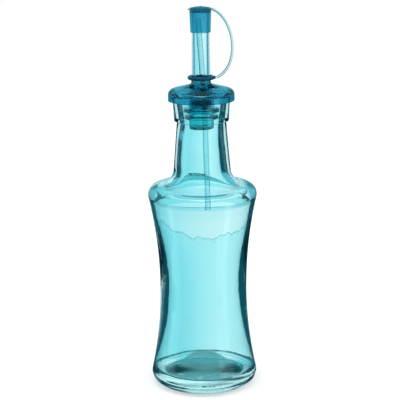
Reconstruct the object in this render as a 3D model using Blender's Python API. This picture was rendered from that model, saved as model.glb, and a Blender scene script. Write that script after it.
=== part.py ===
"""Oil cruet: a waisted bottle of thick aqua glass with a push-in pourer.

The pourer is a blue flange with a clear spout, a ribbed stopper and a breather straw. A loose
collar and a strap tie the spout's cap to it. Lengths are metres, +Z is up, and the origin is the
middle of the foot, on the surface that the bottle stands on.
"""

import math

import bmesh
import bpy
from mathutils import Matrix, Vector

# Fits
FIT_GAP = 0.0003
CUT_OVERRUN = 0.001
SEAM_MERGE = 0.00001

# Glass bottle, outside
BOTTLE_HEIGHT = 0.1810
FOOT_RADIUS = 0.02515
FOOT_LAND = 0.0016
PUNT_HEIGHT = 0.0016
RECESS_DEPTH = 0.0010
RECESS_ROUND = 0.0010
HEEL_RADIUS = 0.03275
HEEL_HEIGHT = 0.0062
HEEL_TURN = 10
WAIST_RADIUS = 0.0267
WAIST_HEIGHT = 0.0618
SHOULDER_RADIUS = 0.0343
SHOULDER_HEIGHT = 0.1246
SHOULDER_ROUND = 0.0057
NECK_FOOT_RADIUS = 0.0179
NECK_FOOT_HEIGHT = 0.1279
NECK_FOOT_ROUND = 0.0095
NECK_TOP_RADIUS = 0.0148
FINISH_FOOT_RADIUS = 0.01645
FINISH_TOP_RADIUS = 0.0173
FINISH_HEIGHT = 0.0159
FINISH_ROUND = 0.0006
LIP_ROUND = 0.0011

# Glass bottle, inside
BORE_RADIUS = 0.0128
BORE_DEPTH = 0.0180
THROAT_RADIUS = 0.0101
THROAT_ROUND = 0.040
WALL_NECK = 0.0048
WALL_SHOULDER = 0.0030
WALL_WAIST = 0.0052
WALL_HEEL = 0.0020
INNER_NECK_ROUND = 0.0130
INNER_SHOULDER_ROUND = 0.0045
INNER_HEEL_ROUND = 0.0015
BASE_THICKNESS = 0.0090
FLOOR_DROP = 0.0011

# Flange with its skirt, hub and socket
RIM_RADIUS = 0.01995
RIM_ROUND = 0.0037
RIM_EDGE_HEIGHT = 0.0027
SKIRT_DEPTH = 0.0036
SKIRT_WALL = 0.0018
DOME_RISE = 0.0037
DOME_WALL = 0.0018
SEAT_WIDTH = 0.0033
HUB_RADIUS = 0.0059
HUB_HEIGHT = 0.0022
HUB_ROUND = 0.0012
SOCKET_WALL = 0.0014
SOCKET_DEPTH = 0.0090
MOULDED_ROUND = 0.0003

# Spout
SPOUT_FOOT_RADIUS = 0.00553
SPOUT_TIP_RADIUS = 0.00495
SPOUT_LENGTH = 0.03965
SPOUT_WALL = 0.0012
SPIGOT_RADIUS = 0.0046
SPIGOT_WALL = 0.0010
SPIGOT_LENGTH = 0.0140

# Ribbed stopper
STOPPER_CAP_RADIUS = 0.0145
STOPPER_CAP_HEIGHT = 0.0010
RIB_COUNT = 2
RIB_DROP = 0.0080
RIB_PITCH = 0.0040
RIB_HEIGHT = 0.0024
RIB_OUTLINE_SHARES = ((0.0, 0.0), (0.22, 0.80), (0.34, 1.0), (0.72, 1.0), (0.84, 0.80), (1.0, 0.0))
SLEEVE_RADIUS = 0.0075
SLEEVE_WALL = 0.0014
SLEEVE_LENGTH = 0.0205
SLEEVE_FLOOR = 0.0014
POUR_HOLE_RADIUS = 0.0015
POUR_HOLE_OFFSET = 0.0037
POUR_HOLE_COUNT = 3
POUR_HOLE_STEP = 70

# Breather straw
STRAW_RADIUS = 0.00165
STRAW_WALL = 0.0004
STRAW_LENGTH = 0.1106
STRAW_TIP_SETBACK = 0.0036
STRAW_TOP_OFFSET = -0.0016
STRAW_END_OFFSET = 0.0031

# Collar ring
COLLAR_SECTION_RADIUS = 0.00115
LUG_LENGTH = 0.0006
LUG_WIDTH = 0.0024
LUG_HEIGHT = 0.0018
LUG_ROUND = 0.0003
PEG_DEPTH = 0.0010
PEG_WIDTH = 0.0012
PEG_HEIGHT = 0.0006

# Spout cap
CAP_TOP_RADIUS = 0.00643
CAP_MOUTH_RADIUS = 0.0060
CAP_DEPTH = 0.0117
CAP_ROUND = 0.0004
LID_THICKNESS = 0.0010
DOME_EDGE = 0.0002
CAP_DOME_RISE = 0.0009
NIPPLE_RADIUS = 0.0005
NIPPLE_HEIGHT = 0.0002
STEM_RADIUS = 0.0044

# Strap
STRAP_WIDTH = 0.0026
STRAP_THICKNESS = 0.0015
STRAP_EYE_THICKNESS = 0.0005
STRAP_EYE_WIDTH = 0.0026
STRAP_UPPER_REACH = 0.0129
STRAP_UPPER_DROP = 0.0048
STRAP_LOWER_REACH = 0.0149
STRAP_LOWER_RISE = 0.0066

# Facets
BOTTLE_STEPS = 42
FLANGE_STEPS = 36
SPOUT_STEPS = 28
STOPPER_STEPS = 32
CAP_STEPS = 32
COLLAR_STEPS = 32
SECTION_STEPS = 8
HOLE_STEPS = 14
STRAW_STEPS = 14
STRAP_STEPS = 15
FINE_ARC_STEPS = 5
COARSE_ARC_STEPS = 2
FINE_ROUND = 0.003
FLANK_STEPS = 6
FLOOR_STEPS = 3
STRAW_SIDE_STEPS = 3
SMOOTH_ANGLE = math.radians(32)

# Places that follow from the sizes above
LIP_SEAT = FIT_GAP
HUB_FOOT = RIM_EDGE_HEIGHT + DOME_RISE
HUB_TOP = HUB_FOOT + HUB_HEIGHT
SPOUT_SEAT = HUB_TOP + FIT_GAP
SPOUT_TIP = SPOUT_SEAT + SPOUT_LENGTH
SOCKET_BORE = SPIGOT_RADIUS + FIT_GAP
SOCKET_RADIUS = SOCKET_BORE + SOCKET_WALL
STOPPER_BORE = SOCKET_RADIUS + FIT_GAP
SLEEVE_FOOT = -SLEEVE_LENGTH
COLLAR_RADIUS = SPOUT_FOOT_RADIUS + FIT_GAP + COLLAR_SECTION_RADIUS
COLLAR_HEIGHT = SPOUT_SEAT + COLLAR_SECTION_RADIUS
LUG_FACE = COLLAR_RADIUS + COLLAR_SECTION_RADIUS + LUG_LENGTH
GROOVE_FLOOR = FIT_GAP + LID_THICKNESS
GROOVE_HEIGHT = STRAP_EYE_THICKNESS + 2 * FIT_GAP
EYE_BORE = STEM_RADIUS + FIT_GAP
STRAP_EYE_RADIUS = EYE_BORE + STRAP_EYE_WIDTH


def clear_scene():
    for obj in list(bpy.data.objects):
        bpy.data.objects.remove(obj, do_unlink=True)


def plastic(name, colour, roughness, transmission):
    material = bpy.data.materials.new(name)
    material.use_nodes = True
    shader = material.node_tree.nodes["Principled BSDF"]
    shader.inputs["Base Color"].default_value = (*colour, 1)
    shader.inputs["Roughness"].default_value = roughness
    shader.inputs["Metallic"].default_value = 0
    shader.inputs["Transmission Weight"].default_value = transmission
    return material


def empty(name, height, parent=None):
    """An axis marker on the Z axis, at a height above its parent's."""
    obj = bpy.data.objects.new(name, None)
    bpy.context.collection.objects.link(obj)
    obj.parent = parent
    obj.location = (0, 0, height)
    return obj


def link(name, data, parent=None, height=0.0):
    obj = bpy.data.objects.new(name, data)
    bpy.context.collection.objects.link(obj)
    obj.parent = parent
    obj.location = (0, 0, height)
    return obj


def settle(obj):
    """Replaces the object's data by its evaluated mesh, shaded smooth between its sharp edges."""
    graph = bpy.context.evaluated_depsgraph_get()
    mesh = bpy.data.meshes.new_from_object(obj.evaluated_get(graph))
    mesh.name = obj.name
    obj.modifiers.clear()
    obj.data = mesh
    mesh.shade_smooth()
    mesh.set_sharp_from_angle(angle=SMOOTH_ANGLE)
    return obj


def arc(centre, radius, start, end, steps, height=None):
    """Points (r, z) along a circle, or an ellipse with its own height, between two angles in degrees."""
    height = radius if height is None else height
    points = []
    for i in range(steps + 1):
        angle = math.radians(start + (end - start) * i / steps)
        points.append((centre[0] + radius * math.cos(angle), centre[1] + height * math.sin(angle)))
    return points


def bow(vertex, end, steps):
    """Points along a shallow bow that runs upright through its vertex and ends at end, without the vertex."""
    points = []
    for i in range(1, steps + 1):
        share = i / steps
        r = vertex[0] + (end[0] - vertex[0]) * share**2
        points.append((r, vertex[1] + (end[1] - vertex[1]) * share))
    return points


def dish(height, edge, steps):
    """Points of a dished round floor, from its middle at a height to its edge point."""
    points = []
    for i in range(steps + 1):
        share = i / steps
        points.append((edge[0] * share, height + (edge[1] - height) * share**2))
    return points


def rounded(corners):
    """An open outline through corners (r, z) or (r, z, rounding), with each rounding made an arc."""
    points = [corners[0][:2]]
    for before, corner, after in zip(corners, corners[1:], corners[2:]):
        if len(corner) == 2:
            points.append(corner)
            continue
        tip = Vector(corner[:2])
        back = (Vector(before[:2]) - tip).normalized()
        on = (Vector(after[:2]) - tip).normalized()
        half = back.angle(on) / 2
        middle = tip + (back + on).normalized() * corner[2] / math.sin(half)
        reach = corner[2] / math.tan(half)
        first = tip + back * reach - middle
        last = tip + on * reach - middle
        turn = first.angle_signed(last)
        steps = FINE_ARC_STEPS if corner[2] > FINE_ROUND else COARSE_ARC_STEPS
        for i in range(steps + 1):
            spoke = Matrix.Rotation(-turn * i / steps, 2) @ first
            points.append(tuple(middle + spoke))
    points.append(corners[-1][:2])
    return points


def revolve(name, outline, steps, parent=None, height=0.0, closed=True):
    """A turned solid. The outline runs down its outer side; an open one starts and ends on the axis."""
    mesh = bpy.data.meshes.new(name)
    shape = bmesh.new()
    verts = [shape.verts.new((r, 0, z)) for r, z in outline]
    for first, second in zip(verts, verts[1:]):
        shape.edges.new((first, second))
    if closed:
        shape.edges.new((verts[-1], verts[0]))
    shape.to_mesh(mesh)
    shape.free()
    obj = link(name, mesh, parent, height)
    screw = obj.modifiers.new("Turn", "SCREW")
    screw.angle = math.tau
    screw.steps = steps
    screw.render_steps = steps
    screw.use_merge_vertices = True
    screw.merge_threshold = SEAM_MERGE
    return settle(obj)


def combine(obj, other, operation):
    """Cuts or joins another shape into the object and removes the other."""
    boolean = obj.modifiers.new(operation.title(), "BOOLEAN")
    boolean.operation = operation
    boolean.object = other
    boolean.solver = "EXACT"
    bpy.context.view_layer.update()
    settle(obj)
    bpy.data.objects.remove(other, do_unlink=True)
    return obj


def drill(name, radius, top, bottom, place, steps, parent):
    """A round cutter that overruns both faces, at a place (x, y)."""
    mesh = bpy.data.meshes.new(name)
    shape = bmesh.new()
    length = top - bottom + 2 * CUT_OVERRUN
    bmesh.ops.create_cone(
        shape, cap_ends=True, segments=steps, radius1=radius, radius2=radius, depth=length
    )
    bmesh.ops.translate(shape, verts=shape.verts, vec=(*place, (top + bottom) / 2))
    shape.to_mesh(mesh)
    shape.free()
    return link(name, mesh, parent)


def block(name, low, high, rounding, parent, height):
    """A box between two corners, its edges rounded by a Bevel."""
    mesh = bpy.data.meshes.new(name)
    shape = bmesh.new()
    bmesh.ops.create_cube(shape, size=1)
    size = Vector(high) - Vector(low)
    bmesh.ops.scale(shape, vec=size, verts=shape.verts)
    bmesh.ops.translate(shape, verts=shape.verts, vec=(Vector(low) + Vector(high)) / 2)
    shape.to_mesh(mesh)
    shape.free()
    obj = link(name, mesh, parent, height)
    if rounding:
        bevel = obj.modifiers.new("Edges", "BEVEL")
        bevel.width = rounding
        bevel.segments = 2
    return settle(obj)


def tube(name, points, radius, sides, parent=None, height=0.0, extrude=0.0):
    """A round bar along points in the XZ plane, or a flat one with round edges where it is extruded."""
    curve = bpy.data.curves.new(name, "CURVE")
    curve.dimensions = "3D"
    curve.twist_mode = "Z_UP"
    curve.bevel_depth = radius
    curve.bevel_resolution = sides
    curve.extrude = extrude
    curve.use_fill_caps = True
    spline = curve.splines.new("POLY")
    spline.points.add(len(points) - 1)
    for point, (x, z) in zip(spline.points, points):
        point.co = (x, z, 0, 1)
    guide = link(name, curve)
    bpy.context.view_layer.update()
    graph = bpy.context.evaluated_depsgraph_get()
    mesh = bpy.data.meshes.new_from_object(guide.evaluated_get(graph))
    bpy.data.objects.remove(guide, do_unlink=True)
    mesh.transform(Matrix.Rotation(math.pi / 2, 4, "X"))
    close_ends(mesh)
    return settle(link(name, mesh, parent, height))


def close_ends(mesh):
    """Welds a bar's caps to its sides and turns its faces outwards."""
    shape = bmesh.new()
    shape.from_mesh(mesh)
    bmesh.ops.remove_doubles(shape, verts=shape.verts, dist=SEAM_MERGE)
    bmesh.ops.recalc_face_normals(shape, faces=shape.faces)
    shape.to_mesh(mesh)
    shape.free()


def bottle_outside():
    """The outer outline from the lip down to the middle of the raised underside."""
    heel_width = HEEL_RADIUS - FOOT_RADIUS
    heel = arc((FOOT_RADIUS, HEEL_HEIGHT), heel_width, HEEL_TURN, -90, FINE_ARC_STEPS, HEEL_HEIGHT)
    waist = (WAIST_RADIUS, WAIST_HEIGHT)
    shoulder = (SHOULDER_RADIUS, SHOULDER_HEIGHT)
    upper = bow(waist, shoulder, FLANK_STEPS)[::-1]
    finish_foot = BOTTLE_HEIGHT - FINISH_HEIGHT
    top = rounded(
        [
            (BORE_RADIUS + 2 * LIP_ROUND, BOTTLE_HEIGHT),
            (FINISH_TOP_RADIUS, BOTTLE_HEIGHT, LIP_ROUND),
            (FINISH_FOOT_RADIUS, finish_foot, FINISH_ROUND),
            (NECK_TOP_RADIUS, finish_foot),
            (NECK_FOOT_RADIUS, NECK_FOOT_HEIGHT, NECK_FOOT_ROUND),
            (*shoulder, SHOULDER_ROUND),
            upper[1],
        ]
    )
    land = FOOT_RADIUS - FOOT_LAND
    step = land - RECESS_ROUND
    recess = arc((step, 0), RECESS_ROUND, 0, 90, COARSE_ARC_STEPS, RECESS_DEPTH)
    punt = dish(PUNT_HEIGHT, (step, RECESS_DEPTH), FLOOR_STEPS)[::-1]
    return top + upper[2:] + [waist] + bow(waist, heel[0], FLANK_STEPS)[:-1] + heel + recess + punt[1:]


def bottle_inside():
    """The inner outline from the middle of the floor up to the mouth."""
    waist = (WAIST_RADIUS - WALL_WAIST, WAIST_HEIGHT)
    corner = (SHOULDER_RADIUS - WALL_SHOULDER, SHOULDER_HEIGHT - WALL_SHOULDER)
    floor = PUNT_HEIGHT + BASE_THICKNESS
    edge = (HEEL_RADIUS - WALL_HEEL, floor - FLOOR_DROP)
    lower = bow(waist, edge, FLANK_STEPS)
    upper = bow(waist, corner, FLANK_STEPS)
    bottom = dish(floor, edge, FLOOR_STEPS)
    foot = rounded([bottom[-2], (*edge, INNER_HEEL_ROUND), lower[-2]])
    top = rounded(
        [
            upper[-2],
            (*corner, INNER_SHOULDER_ROUND),
            (NECK_FOOT_RADIUS - WALL_NECK, NECK_FOOT_HEIGHT - WALL_SHOULDER, INNER_NECK_ROUND),
            (THROAT_RADIUS, BOTTLE_HEIGHT - BORE_DEPTH, THROAT_ROUND),
            (BORE_RADIUS, BOTTLE_HEIGHT, LIP_ROUND),
            (BORE_RADIUS + 2 * LIP_ROUND, BOTTLE_HEIGHT),
        ]
    )
    return bottom[:-2] + foot + lower[-3::-1] + [waist] + upper[:-2] + top[:-1]


def make_bottle():
    outline = bottle_inside() + bottle_outside()
    bottle = revolve("glass_bottle", outline, BOTTLE_STEPS, closed=False)
    bottle.data.materials.append(plastic("aqua_glass", (0.36, 0.86, 0.87), 0.03, 1))
    return bottle


def ceiling(radius):
    """The height of the flange's hollow at a radius, one wall under its dome."""
    share = (radius - HUB_RADIUS) / (RIM_RADIUS - HUB_RADIUS)
    return HUB_FOOT - DOME_RISE * share - DOME_WALL


def make_flange(axis):
    """The flange: a domed disc on the lip, with a skirt round it, a hub above and a socket below."""
    skirt_bore = RIM_RADIUS - SKIRT_WALL
    hollow = skirt_bore - SEAT_WIDTH
    outline = rounded(
        [
            (SOCKET_BORE, HUB_TOP),
            (HUB_RADIUS, HUB_TOP, MOULDED_ROUND),
            (HUB_RADIUS, HUB_FOOT, HUB_ROUND),
            (RIM_RADIUS, RIM_EDGE_HEIGHT, RIM_ROUND),
            (RIM_RADIUS, -SKIRT_DEPTH, MOULDED_ROUND),
            (skirt_bore, -SKIRT_DEPTH, MOULDED_ROUND),
            (skirt_bore, LIP_SEAT, MOULDED_ROUND),
            (hollow, LIP_SEAT),
            (hollow, ceiling(hollow), MOULDED_ROUND),
            (SOCKET_RADIUS, ceiling(SOCKET_RADIUS), MOULDED_ROUND),
            (SOCKET_RADIUS, -SOCKET_DEPTH),
            (SOCKET_BORE, -SOCKET_DEPTH),
        ]
    )
    flange = revolve("pourer_flange", outline, FLANGE_STEPS, axis)
    flange.data.materials.append(plastic("blue_plastic", (0.005, 0.16, 0.28), 0.15, 0.8))
    return flange


def make_spout(axis):
    """The clear spout: a tapered tube on a spigot that stands in the flange's socket."""
    outline = rounded(
        [
            (SPOUT_TIP_RADIUS - SPOUT_WALL, SPOUT_LENGTH),
            (SPOUT_TIP_RADIUS, SPOUT_LENGTH, MOULDED_ROUND),
            (SPOUT_FOOT_RADIUS, 0),
            (SPIGOT_RADIUS, 0),
            (SPIGOT_RADIUS, -SPIGOT_LENGTH, MOULDED_ROUND),
            (SPIGOT_RADIUS - SPIGOT_WALL, -SPIGOT_LENGTH),
            (SPIGOT_RADIUS - SPIGOT_WALL, 0),
        ]
    )
    spout = revolve("spout_tube", outline, SPOUT_STEPS, axis, SPOUT_SEAT)
    spout.data.materials.append(plastic("clear_plastic", (0.50, 0.86, 0.92), 0.08, 1))
    return spout


def bore_radius(drop):
    """The radius of the tapering mouth at a depth below the lip."""
    return BORE_RADIUS + (THROAT_RADIUS - BORE_RADIUS) * drop / BORE_DEPTH


def rib_points():
    """The stopper's ribs, soft fins round the sleeve, each as wide as the mouth at its own depth."""
    points = []
    for rib in range(RIB_COUNT):
        top = RIB_DROP + rib * RIB_PITCH
        reach = bore_radius(top + RIB_HEIGHT) - FIT_GAP - SLEEVE_RADIUS
        for drop_share, reach_share in RIB_OUTLINE_SHARES:
            points.append((SLEEVE_RADIUS + reach * reach_share, -top - RIB_HEIGHT * drop_share))
    return points


def straw_offset(height):
    """How far the straw's centre line stands off the axis at a height above the lip."""
    top = SPOUT_TIP - STRAW_TIP_SETBACK
    share = (height - top + STRAW_LENGTH) / STRAW_LENGTH
    return STRAW_END_OFFSET + (STRAW_TOP_OFFSET - STRAW_END_OFFSET) * share**2


def make_stopper(axis):
    """The soft stopper: a sleeve with a cap on the lip, ribs that grip the mouth and a pierced floor."""
    sleeve_bore = SLEEVE_RADIUS - SLEEVE_WALL
    floor = SLEEVE_FOOT + SLEEVE_FLOOR
    step = -SOCKET_DEPTH - FIT_GAP
    top = LIP_SEAT + STOPPER_CAP_HEIGHT
    outline = [(0, floor), (sleeve_bore, floor), (sleeve_bore, step)]
    outline += [(STOPPER_BORE, step), (STOPPER_BORE, top)]
    outline += [(STOPPER_CAP_RADIUS, top), (STOPPER_CAP_RADIUS, LIP_SEAT)]
    outline += [(SLEEVE_RADIUS, LIP_SEAT)] + rib_points()
    outline += [(SLEEVE_RADIUS, SLEEVE_FOOT + MOULDED_ROUND), (SLEEVE_RADIUS - MOULDED_ROUND, SLEEVE_FOOT)]
    outline += [(0, SLEEVE_FOOT)]
    stopper = revolve("ribbed_stopper", outline, STOPPER_STEPS, axis, closed=False)
    straw_place = (straw_offset(floor - SLEEVE_FLOOR / 2), 0)
    hole = STRAW_RADIUS + FIT_GAP
    cutter = drill("straw_hole", hole, floor, SLEEVE_FOOT, straw_place, HOLE_STEPS, axis)
    combine(stopper, cutter, "DIFFERENCE")
    for i in range(POUR_HOLE_COUNT):
        angle = math.radians(180 + POUR_HOLE_STEP * (i - (POUR_HOLE_COUNT - 1) / 2))
        place = (POUR_HOLE_OFFSET * math.cos(angle), POUR_HOLE_OFFSET * math.sin(angle))
        cutter = drill("pour_hole", POUR_HOLE_RADIUS, floor, SLEEVE_FOOT, place, HOLE_STEPS, axis)
        combine(stopper, cutter, "DIFFERENCE")
    stopper.data.materials.append(plastic("teal_soft_plastic", (0.02, 0.33, 0.40), 0.35, 0.5))
    return stopper


def straw_path(overrun=0.0):
    """Points of the straw's slightly bowed centre line, in height above the lip."""
    top = SPOUT_TIP - STRAW_TIP_SETBACK + overrun
    end = SPOUT_TIP - STRAW_TIP_SETBACK - STRAW_LENGTH - overrun
    heights = [top + (end - top) * i / (STRAW_STEPS - 1) for i in range(STRAW_STEPS)]
    return [(straw_offset(height), height) for height in heights]


def make_straw(axis):
    straw = tube("breather_straw", straw_path(), STRAW_RADIUS, STRAW_SIDE_STEPS, axis)
    bore = tube("straw_bore", straw_path(CUT_OVERRUN), STRAW_RADIUS - STRAW_WALL, 1, axis)
    combine(straw, bore, "DIFFERENCE")
    straw.data.materials.append(plastic("clear_straw", (0.62, 0.86, 0.87), 0.10, 1))
    return straw


def make_collar(axis):
    """The blue ring that turns on the spout, with a lug that takes the strap's peg."""
    section = arc((COLLAR_RADIUS, 0), COLLAR_SECTION_RADIUS, 360, 0, SECTION_STEPS)[:-1]
    collar = revolve("collar_ring", section, COLLAR_STEPS, axis)
    low = (COLLAR_RADIUS, -LUG_WIDTH / 2, -LUG_HEIGHT / 2)
    high = (LUG_FACE, LUG_WIDTH / 2, LUG_HEIGHT / 2)
    combine(collar, block("lug", low, high, LUG_ROUND, axis, 0), "UNION")
    half_width = PEG_WIDTH / 2 + FIT_GAP
    half_height = PEG_HEIGHT / 2 + FIT_GAP
    low = (LUG_FACE - PEG_DEPTH - FIT_GAP, -half_width, -half_height)
    high = (LUG_FACE + CUT_OVERRUN, half_width, half_height)
    combine(collar, block("peg_socket", low, high, 0, axis, 0), "DIFFERENCE")
    collar.data.materials.append(plastic("deep_blue_plastic", (0.004, 0.075, 0.16), 0.2, 0.7))
    return collar


def make_cap(axis):
    """The spout's cap: a tapered skirt, a lid, and a domed head on a stem that traps the strap's eye."""
    taper = (SPOUT_FOOT_RADIUS - SPOUT_TIP_RADIUS) / SPOUT_LENGTH
    bore_top = SPOUT_TIP_RADIUS + FIT_GAP
    bore_mouth = bore_top + taper * CAP_DEPTH
    groove_roof = GROOVE_FLOOR + GROOVE_HEIGHT
    dome_foot = groove_roof + DOME_EDGE
    dome_top = dome_foot + CAP_DOME_RISE
    dome = dish(dome_top, (CAP_TOP_RADIUS, dome_foot), FINE_ARC_STEPS)[1:]
    outline = [(0, dome_top + NIPPLE_HEIGHT), (NIPPLE_RADIUS, dome_top + NIPPLE_HEIGHT)]
    outline += [(NIPPLE_RADIUS, dome_top)] + dome
    outline += rounded(
        [
            (CAP_TOP_RADIUS, groove_roof),
            (STEM_RADIUS, groove_roof),
            (STEM_RADIUS, GROOVE_FLOOR),
            (CAP_TOP_RADIUS, GROOVE_FLOOR, MOULDED_ROUND),
            (CAP_MOUTH_RADIUS, -CAP_DEPTH, CAP_ROUND),
            (bore_mouth, -CAP_DEPTH),
            (bore_top, FIT_GAP),
            (0, FIT_GAP),
        ]
    )
    cap = revolve("spout_cap", outline, CAP_STEPS, axis, closed=False)
    cap.data.materials.append(plastic("cap_blue_plastic", (0.006, 0.13, 0.24), 0.15, 0.8))
    return cap


def lean(reach, rise):
    """How far a band's end, square to its path, sticks out along X beyond the path's own end."""
    return STRAP_THICKNESS / 2 * rise / math.hypot(reach, rise)


def strap_path():
    """The strap's centre line, a curve with two handles from beside the cap's head to the collar's lug."""
    top = GROOVE_FLOOR + GROOVE_HEIGHT / 2
    foot = COLLAR_HEIGHT - SPOUT_TIP
    start = Vector((CAP_TOP_RADIUS + FIT_GAP + lean(STRAP_UPPER_REACH, STRAP_UPPER_DROP), top))
    end = Vector((LUG_FACE + FIT_GAP + lean(STRAP_LOWER_REACH, STRAP_LOWER_RISE), foot))
    upper = start + Vector((STRAP_UPPER_REACH, -STRAP_UPPER_DROP))
    lower = end + Vector((STRAP_LOWER_REACH, STRAP_LOWER_RISE))
    points = []
    for i in range(STRAP_STEPS):
        t = i / (STRAP_STEPS - 1)
        point = (1 - t) ** 3 * start + 3 * (1 - t) ** 2 * t * upper
        point += 3 * (1 - t) * t**2 * lower + t**3 * end
        points.append(tuple(point))
    return points


def make_strap(axis):
    """The clear strap: a bowed band, an eye round the cap's stem and a peg for the collar's lug."""
    half = STRAP_THICKNESS / 2
    strap = tube("tether_strap", strap_path(), half, 2, axis, 0, STRAP_WIDTH / 2 - half)
    low = GROOVE_FLOOR + FIT_GAP
    high = low + STRAP_EYE_THICKNESS
    ring = [(EYE_BORE, high), (STRAP_EYE_RADIUS, high), (STRAP_EYE_RADIUS, low), (EYE_BORE, low)]
    combine(strap, revolve("eye", ring, CAP_STEPS, axis), "UNION")
    foot = COLLAR_HEIGHT - SPOUT_TIP
    low = (LUG_FACE - PEG_DEPTH, -PEG_WIDTH / 2, foot - PEG_HEIGHT / 2)
    high = (LUG_FACE + FIT_GAP + STRAP_THICKNESS, PEG_WIDTH / 2, foot + PEG_HEIGHT / 2)
    combine(strap, block("peg", low, high, 0, axis, 0), "UNION")
    strap.data.materials.append(plastic("clear_strap", (0.80, 0.90, 0.91), 0.25, 0.7))
    return strap


def main():
    clear_scene()
    make_bottle()
    pourer_axis = empty("pourer_axis", BOTTLE_HEIGHT)
    make_flange(pourer_axis)
    make_spout(pourer_axis)
    make_stopper(pourer_axis)
    make_straw(pourer_axis)
    tether_axis = empty("tether_axis", COLLAR_HEIGHT, pourer_axis)
    make_collar(tether_axis)
    cap_axis = empty("cap_axis", SPOUT_TIP - COLLAR_HEIGHT, tether_axis)
    make_strap(cap_axis)
    make_cap(cap_axis)


main()
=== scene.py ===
"""The looks of an oil cruet: aqua glass, a blue push-in pourer, and a cap tied to its spout by a strap."""

import math
from collections import namedtuple

import bmesh
import bpy
from bpy.props import FloatProperty, FloatVectorProperty, IntProperty, PointerProperty
from bpy.types import Operator, Panel, PropertyGroup
from mathutils import Matrix, Vector


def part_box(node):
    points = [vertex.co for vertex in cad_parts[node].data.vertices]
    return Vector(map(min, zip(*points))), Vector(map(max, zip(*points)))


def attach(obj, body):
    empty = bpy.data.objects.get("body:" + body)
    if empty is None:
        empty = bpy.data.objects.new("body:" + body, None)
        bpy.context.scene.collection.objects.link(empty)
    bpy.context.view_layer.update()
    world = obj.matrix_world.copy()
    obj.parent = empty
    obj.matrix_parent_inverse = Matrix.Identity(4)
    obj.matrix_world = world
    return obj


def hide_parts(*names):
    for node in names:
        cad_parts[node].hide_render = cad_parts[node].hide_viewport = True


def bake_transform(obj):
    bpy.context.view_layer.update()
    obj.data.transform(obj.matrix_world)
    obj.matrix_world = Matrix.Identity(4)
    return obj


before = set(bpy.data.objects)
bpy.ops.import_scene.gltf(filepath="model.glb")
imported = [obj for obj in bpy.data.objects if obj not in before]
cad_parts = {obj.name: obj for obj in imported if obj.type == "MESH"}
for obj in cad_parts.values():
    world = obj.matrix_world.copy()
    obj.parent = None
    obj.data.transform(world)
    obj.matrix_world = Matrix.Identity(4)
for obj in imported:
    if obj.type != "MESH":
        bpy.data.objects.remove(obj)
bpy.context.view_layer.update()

bl_info = {
    "name": "Oil cruet",
    "version": (1, 0, 0),
    "blender": (4, 5, 0),
    "location": "3D View > Sidebar > Cruet",
    "description": "Builds a waisted glass cruet with its pourer, cap and strap in a plain studio",
    "category": "Object",
}

LIP_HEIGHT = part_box("glass_bottle")[1].z
SEAM = 0.000001  # vertices closer than this are one
FIT = 0.0003  # gap between pieces that touch
SMOOTH_ANGLE = math.radians(35)

# Steps along arcs, bows and paths, and the spacing of points on the walls
CORNER_STEPS = 12
EDGE_STEPS = 4
STOPPER_STEPS = 5
BOW_STEPS = 24
FLANK_STEPS = 60
HEEL_STEPS = 18
RECESS_STEPS = 6
PUNT_STEPS = 10
FLOOR_STEPS = 12
DOME_STEPS = 16
SECTION_STEPS = 32
STRAW_POINTS = 60
STRAP_POINTS = 64
HEEL_SPACING = 0.0003
WALL_SPACING = 0.0030

# Facets round the turned pieces
SMALL_FACETS = 96
COLLAR_FACETS = 128
FLANGE_FACETS = 160
CARD_FACETS = 180

GLASS_VALUES = ("wave", "ridge", "lean")  # what each point of the bottle's outline carries
WAVE_STRETCH = 0.55  # the inner wall's waves are longer upwards than round
WAVE_GAIN = 4.0
WAVE_DETAIL = 1.5
WAVE_SEED = 3.7
OUTER_WAVE_SHARE = 0.15
LEAN_START_SHARE = 0.6
LEAN_END_SHARE = 1.6
BAND_ROUND_SHARE = 0.46  # rounding of the strap's edges, of its thickness
BAND_ROUND_STEPS = 5
RIB_SLIMMING = 0.4  # how much thinner a rib is at its edge
RIB_ROUND_SHARE = 0.3
RIB_ROUND_STEPS = 6
GRAIN_DETAIL = 3.0
BUMP_STRENGTH = 0.35
POUR_HOLE_ANGLES = (110, 180, 250)

# In the pairs below, a soft change starts at the first value and ends at the second

# The line inside the front where the glass settled, with paler glass over it
SETTLE_BEND = 9.1
SETTLE_SLOPE = -0.094
SETTLE_WAVES = ((110.0, 0.0090), (700.0, 0.0042))
SETTLE_FRONT = (-0.002, -0.008)
SETTLE_LINE = (0.0008, 0.0002)
SETTLE_EDGE = (-0.0002, 0.0006)
SETTLE_FADE = (0.130, 0.118)
INNER_WALL = (0.0295, 0.0288)
SETTLE_TINT = (0.10, 0.42, 0.46)
SETTLE_SHARE = 0.70
PALE_SHARE = 0.50
PALE_INNER_SHARE = 0.35

# The heel's pale rings, a painted highlight, and the darker grooves between them, painted shade
HEEL_HIGHLIGHT_TOP = (0.0095, 0.0075)
HEEL_HIGHLIGHT_EDGE = 0.001
HEEL_HIGHLIGHT_TINT = (0.95, 1.0, 1.0)
HEEL_HIGHLIGHT_SHARE = 0.85
GROOVE_SHADE_SHARES = (-0.30, -0.80)
GROOVE_SHADE_TINT = (0.20, 0.42, 0.43)
GROOVE_SHADE_SHARE = 0.75

# Heights between which the flange's colours change, over the lip and over the hub's foot
SKIRT_FADE = (-0.0015, 0.0030)
HUB_FADE = (-0.0012, 0.0006)

HOLLOW_DEPTH = 2.5  # a ray that has crossed more surfaces than this has been through the hollow
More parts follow.
